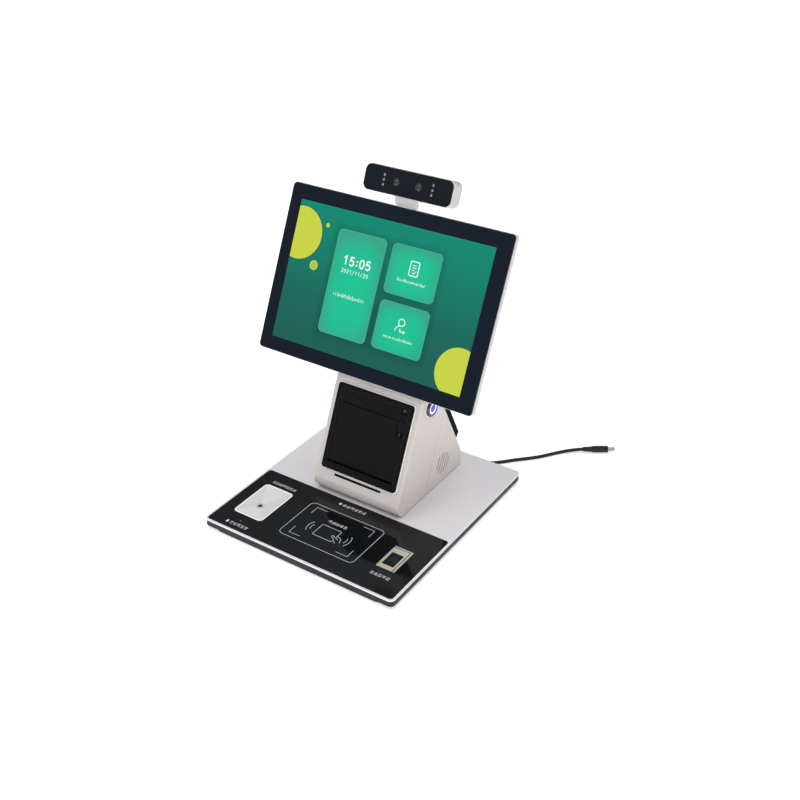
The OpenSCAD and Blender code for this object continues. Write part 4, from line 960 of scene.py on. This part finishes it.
def build_pedestal():
    # A warm grey for painted shade: a shaded line down the side, lines round the grille's slots and
    # a shadow line round the pedestal's foot.
    shade_line = surface("painted_shade_line", "#8E8A86", 0.6, tone=0.04)
    Shape().line([(36.8, 15.2), (36.8 + 104 * math.tan(REAR_TILT), 119.2)], 0.3, SUNK, 0.04).piece(
        "side_shade_line_right", side, shade_line)
    lean = Vector((math.sin(REAR_TILT), math.cos(REAR_TILT)))
    across = Vector((lean.y, -lean.x))
    low, high = corners_of("speaker")
    middle = Vector(((low.y + high.y) / 2, (low.z + high.z) / 2))
    grille_r, pitch, slot_r = 15.8, 6.5, 0.95
    shades, rims = Shape(), Shape()
    for i in range(-2, 3):
        half = math.sqrt(grille_r ** 2 - (i * pitch) ** 2)
        centre = middle + across * i * pitch
        outline = []
        for end in (1, -1):
            for k in range(9):
                a = math.pi * k / 8
                along_slot = lean * (end * (half - 0.9 + slot_r * math.sin(a)))
                outline.append(tuple(centre + (along_slot + across * (end * slot_r * math.cos(a)))))
        # Dark plates just inside each slot, painted shade of the slot's depth.
        shades.plate(outline, -1.2, -0.9)
        # A dark line round each slot's edge, painted shade.
        rims.loop(outline, 0.25, SUNK, 0.05)
    shades.piece("grille_slot_painted_shade", side,
                 surface("grille_slot_painted_shade", "#6F6A67", 0.8, tone=0.2, tone_scale=900))
    rims.piece("grille_slot_shade_lines", side, shade_line)
    half_w, front, rear = 68.1, -18.5, 131.1
    # A dark line on the base round the pedestal, painted shadow where the two meet.
    Shape().line([(half_w, front), (half_w, rear), (-half_w, rear), (-half_w, front)], 0.5, SUNK,
                 0.04).piece("pedestal_foot_shadow_line", base_top, shade_line)
    back = face_on("pedestal_casing", (0, 1, 0), centred=False)
    surrounds, tongues = Shape(), Shape()
    for u in (23.5, 5.5):
        surrounds.loop(rounded(15.2, 7.6, 1.0, (u, 26.8)), 0.7, SUNK, 0.35)
        tongues.plate(rounded(10.4, 1.5, 0.2, (u, 27.3)), -3.0, -1.0)
    surrounds.piece("port_surrounds", back, WARM, bevel=0.15)
    tongues.piece("port_tongues", back, surface("port_blue", "#2E55A5", 0.4, tone=0.05),
                  "module_grey")


def build_power_button():
    bezel = face_on("power_button_bezel", RIGHT, centred=False)
    cap = face_on("power_button_cap", RIGHT, centred=False)
    low, high = corners_of("power_button_ring")
    centre = ((low.y + high.y) / 2, (low.z + high.z) / 2)
    u, v = centre
    for name, face, material, slot, profile in (
        ("power_button_face", cap, glow("button_face_light", "#2230B0"), "chrome",
         [(0, 0.05), (3.4, 0.04), (4.3, 0.12), (4.75, 0.0), (4.9, -0.4)]),
        ("power_button_halo", bezel, glow("halo_blue", "#2233E6"), "button_glow",
         [(8.25, -0.5), (8.3, 0.12), (8.9, 0.2), (9.6, 0.1)]),
        ("power_button_lip", bezel,
         surface("bezel_edge_chrome", "#6A616B", 0.15, metallic=1.0), "chrome",
         [(9.6, -0.1), (9.7, 0.28), (10.4, 0.34), (11.2, 0.12), (11.9, -0.7)]),
        # A white ring round the bezel on the side face, a painted highlight on the hole's edge.
        ("power_button_edge_highlight", side, HIGHLIGHT_WHITE, "warm_white",
         [(12.05, -0.05), (12.1, 0.3), (12.6, 0.35), (13.1, -0.05)]),
    ):
        Shape().turned(centre, profile, 64).piece(name, face, material, slot)
    mark = Shape().line(disc(u, v, 2.0, 28, math.radians(125), math.radians(415)), 0.6, 0.0, 0.16)
    mark.line([(u, v + 0.5), (u, v + 2.7)], 0.6, 0.0, 0.16)
    mark.piece("power_button_mark", cap, glow("mark_blue", "#8F7FB0", 0.9), "button_glow")


build_pedestal()
build_power_button()


# ---- Camera bar ----

def build_camera():
    barrel = surface("lens_barrel", "#403A36", 0.25, tone=0.08, coat=0.6)
    for i, u in enumerate((-16.2, 16.2)):
        Shape().turned((u, 0), [(4.55, -0.6), (4.5, 0.05), (4.1, 0.1), (3.9, -0.35), (3.1, -0.5),
                                (2.9, -0.75), (2.4, -0.8)]).piece(
            f"camera_lens_barrel_{i + 1}", lens_bar, barrel, "lens_glass")
        Shape().turned((u, 0), [(0, -0.3), (1.2, -0.38), (2.1, -0.62), (2.5, -0.85)]).piece(
            f"camera_lens_{i + 1}", lens_bar, LENS_COAT, "lens_glass")
    lights, shades = Shape(), Shape()
    dome = [(0, 0.3), (0.8, 0.2), (1.4, -0.1), (1.85, -0.3), (1.85, -0.6)]
    for u in (-35.5, 35.5):
        for v in (-6.1, 0, 6.1):
            lights.turned((u, v), dome, 24)
            # A dark half disc over the left of each light, painted shade.
            shades.plate(disc(u, v, 1.55, 12, math.radians(80), math.radians(260)), 0.0, 0.34)
    lights.piece("camera_light_domes", lens_bar, LED_CLEAR, "led_clear")
    shades.piece("camera_led_painted_shades", lens_bar, surface("led_painted_shade", "#4A443C", 0.3),
                 "led_clear")
    top_v, bend_u, bend_v, reach_u, reach_v = -16.2, 9.5, -19.2, 7.7, 8.2
    bowl = [(-17.2, top_v), (17.2, top_v)]
    turns = [math.radians(d) for d in range(0, 91, 10)]
    bowl += [(bend_u + reach_u * math.cos(-a), bend_v + reach_v * math.sin(-a)) for a in turns]
    bowl += [(-bend_u - reach_u * math.sin(a), bend_v - reach_v * math.cos(a)) for a in turns]
    Shape().plate(bowl, -7.2, -4.2).piece(
        "camera_neck_cowl", lens_bar, WHITE, "display_white", bevel=1.2, segments=4)


build_camera()


# ---- Back of the display, rear cover and underside ----

BACK_BULGE, BULGE_DROP = 15.7, 20


def build_display_back():
    bulge = display_back.moved(height=BACK_BULGE, v=-BULGE_DROP)
    vents, bulge_screws, edge_screws = Shape(), Shape(), Shape()
    for i in range(12):
        for su in (-1, 1):
            vents.plate(rounded(26, 1.8, 0.85, (su * 68, 34 - i * 4.6)), SUNK, 0.06)
    for su, sv in CORNERS:
        bulge_screws.screw((su * 92, sv * 67))
    for su in (-1, 1):
        for v in (-96, 0, 96):
            edge_screws.screw((su * 152, v), 2.0, 0.9)
    vents.piece("display_back_vents", bulge, surface("vent_shade", "#161718", 0.7))
    bulge_screws.piece("display_back_screws", bulge, STEEL, "steel")
    edge_screws.piece("display_edge_screws", display_back, STEEL, "steel")
    Shape().loop(rounded(191, 141, 9), 0.6, SUNK, 0.3).piece(
        "display_back_rib", bulge, SHELL, bevel=0.15)
    leaf_screws = Shape()
    for su, sv in CORNERS:
        leaf_screws.screw((su * 31, sv * 24), 2.2, 1.0)
    leaf_screws.piece("hinge_leaf_screws", face_on("hinge_leaf", DISPLAY_REAR), STEEL)


def build_rear_cover():
    vents_v = -6.2
    ribs = Shape().loop(rounded(92, 58, 3, (0, vents_v)), 0.8, SUNK, 0.3)
    for v in (28, 31, 34):
        ribs.line([(-44, v), (44, v)], 0.9, SUNK, 0.35)
    ribs.piece("rear_cover_ribs", rear_slope, MATT, bevel=0.12)
    Shape().plate(rounded(90, 56, 2, (0, vents_v)), -2.2, -1.9).piece(
        "rear_vent_mesh", rear_slope,
        surface("vent_mesh", "#3C3D40", 0.6, tone=0.5, tone_scale=1400))


def build_underside():
    rng = random.Random(23)
    layer = (0.1, 0.2)
    print_marks = Shape()
    for v in (100, 96, 92, 88):
        add_marks(print_marks, -30, 6, v, 2.0, 0.35, layer, rng)
    u = -30.0
    while u < 30:
        width = rng.choice((0.5, 0.8, 1.3))
        print_marks.plate(rectangle(u, u + width, 74, 81), *layer)
        u += width + rng.choice((0.5, 0.9, 1.4))
    for outline in (rounded(18, 18, 1, (20, 94)), disc(20, 94, 5.5, 32)):
        print_marks.loop(outline, 0.5, *layer)
    Shape().plate(rounded(70, 38, 2, (0, 88)), SUNK, 0.15).piece(
        "rating_plate", underside, surface("label_film", "#D9DADC", 0.3, tone=0.03))
    print_marks.piece("rating_plate_print", underside, surface("label_print", "#26272A", 0.5))
    treads = Shape()
    high = corners_of("rubber_feet")[1]
    for su, sv in CORNERS:
        for radius in (3, 5.5):
            treads.loop(disc(su * (high.x - 9), sv * (high.y - 9), radius, 40), 0.6, -0.3, 0.0)
    treads.piece("foot_treads", face_on("rubber_feet", DOWN, centred=False),
                 surface("tread", "#151517", 0.8, tone=0.1))


build_display_back()
build_rear_cover()
build_underside()


# ---- Boards and other parts inside ----

PIN_PITCH = 1.3
SMALL_PARTS = 46


def add_chip(shape, pins, u, v, width, height, rise):
    """A chip, with a row of pins along each side."""
    shape.plate(rounded(width, height, 0.3, (u, v)), 0.1, rise)
    dot = [(0, rise + 0.02), (0.35, rise + 0.02)]
    shape.turned((u - width / 2 + 1, v + height / 2 - 1), dot, 12)
    for sign in (-1, 1):
        for i in range(int(height / PIN_PITCH)):
            row = v - height / 2 + 0.9 + i * PIN_PITCH
            edge = u + sign * width / 2
            pins.plate(rectangle(edge, edge + sign * 0.9, row - 0.25, row + 0.25), SUNK, 0.4)


def populate(name, face, box, chips, caps, plugs, seed):
    """Chips, capacitors, plugs and small parts on a board, whose face spans the box."""
    rng = random.Random(seed)
    black, metal, cream = Shape(), Shape(), Shape()
    for chip in chips:
        add_chip(black, metal, *chip, 1.3)
    can = [(0, 5.6), (2.2, 5.6), (2.5, 5.2), (2.5, 0.6), (2.7, 0.4), (2.7, SUNK)]
    for cap in caps:
        metal.turned(cap, can, 24)
    for u, v, width in plugs:
        cream.plate(rounded(width, 5, 0.4, (u, v)), SUNK, 4.2)
        for i in range(int(width / 2) - 1):
            metal.plate(rounded(0.6, 0.6, 0.1, (u - width / 2 + 2 + i * 2, v)), 4.0, 4.7)
    for _ in range(SMALL_PARTS):
        u, v = rng.uniform(box[0], box[1]), rng.uniform(box[2], box[3])
        rng.choice((black, cream, metal)).plate(rounded(1.7, 0.9, 0.1, (u, v)), SUNK, 0.5)
    black.piece(name + "_chips", face, surface(name + "_epoxy", "#17181A", 0.45, tone=0.1),
                "cover_black", bevel=0.08)
    metal.piece(name + "_metal", face, STEEL, "steel")
    cream.piece(name + "_plugs", face, GEAR, "gear_white", bevel=0.1)


def build_insides():
    populate(
        "mainboard", face_on("mainboard", UP, centred=False), box=(-48, 48, 32, 108),
        chips=((-34, 50, 12, 14), (30, 48, 14, 10), (8, 106, 16, 8)),
        caps=((-46, 70), (-40, 70), (46, 70), (40, 70)),
        plugs=((-20, 32, 24), (24, 32, 16), (48, 96, 6)), seed=3,
    )
    populate(
        "display_board", face_on("display_board", DISPLAY_REAR), box=(-56, 56, -41, 41),
        chips=((44, -30, 12, 10), (-48, 30, 10, 12)), caps=((52, 10), (52, 2)),
        plugs=((-20, 40, 30), (20, 40, 16)), seed=7,
    )
    cone = [(18.6, -0.1), (18.2, 0.5), (16.4, 0.6), (15.8, -0.05), (6, -0.02), (5.4, 0.5), (0, 0.9)]
    Shape().turned((0, 0), cone, 64).piece(
        "speaker_cone", face_on("speaker", RIGHT),
        surface("speaker_cone", "#232326", 0.7, tone=0.1, grain=0.05), "rubber")


build_insides()


# ---- Stage ----

def make_stage():
    """A white floor that gives off a little light of its own, as a table lit from below does."""
    bm = bmesh.new()
    bmesh.ops.create_grid(bm, x_segments=1, y_segments=1, size=6)
    mesh = bpy.data.meshes.new("floor")
    bm.to_mesh(mesh)
    bm.free()
    floor = bpy.data.objects.new("floor", mesh)
    scene.collection.objects.link(floor)
    mesh.materials.append(surface("pale_floor", "#F4F4F4", 0.7, tone=0.004, shine=0.55))


def make_world():
    """Soft light that is bright overhead and dim towards the horizon."""
    world = bpy.data.worlds.new("studio")
    scene.world = world
    world.use_nodes = True
    tree = world.node_tree
    height = add_node(tree, "ShaderNodeSeparateXYZ", Vector=place_on(tree)).outputs["Z"]
    stops = ((0, "#66686C"), (0.56, "#76787C"), (0.86, "#F0F2F4"), (1, "#FFFFFF"))
    tree.links.new(fade(tree, height, stops), tree.nodes["Background"].inputs["Color"])


def add_light(name, place, size, power, target=(0, 0, 0.15), colour=(1, 1, 1)):
    data = bpy.data.lights.new(name, "AREA")
    data.shape = "RECTANGLE"
    data.size, data.size_y = size
    data.energy = power
    data.color = colour
    light = bpy.data.objects.new(name, data)
    light.location = place
    light.rotation_mode = "QUATERNION"
    light.rotation_quaternion = (Vector(target) - Vector(place)).to_track_quat("-Z", "Y")
    scene.collection.objects.link(light)


make_stage()
make_world()
add_light("key_softbox", (-1.4, -1.4, 2.2), (1.6, 1.6), 14)
add_light("right_softbox", (2.2, -0.6, 0.25), (1.2, 0.8), 5.2)
add_light("front_softbox", (0.7, -2.2, 0.5), (1.0, 0.7), 13)
add_light("top_softbox", (0.2, 0.8, 2.6), (2.4, 2.0), 15)
scene.view_settings.view_transform = "Standard"
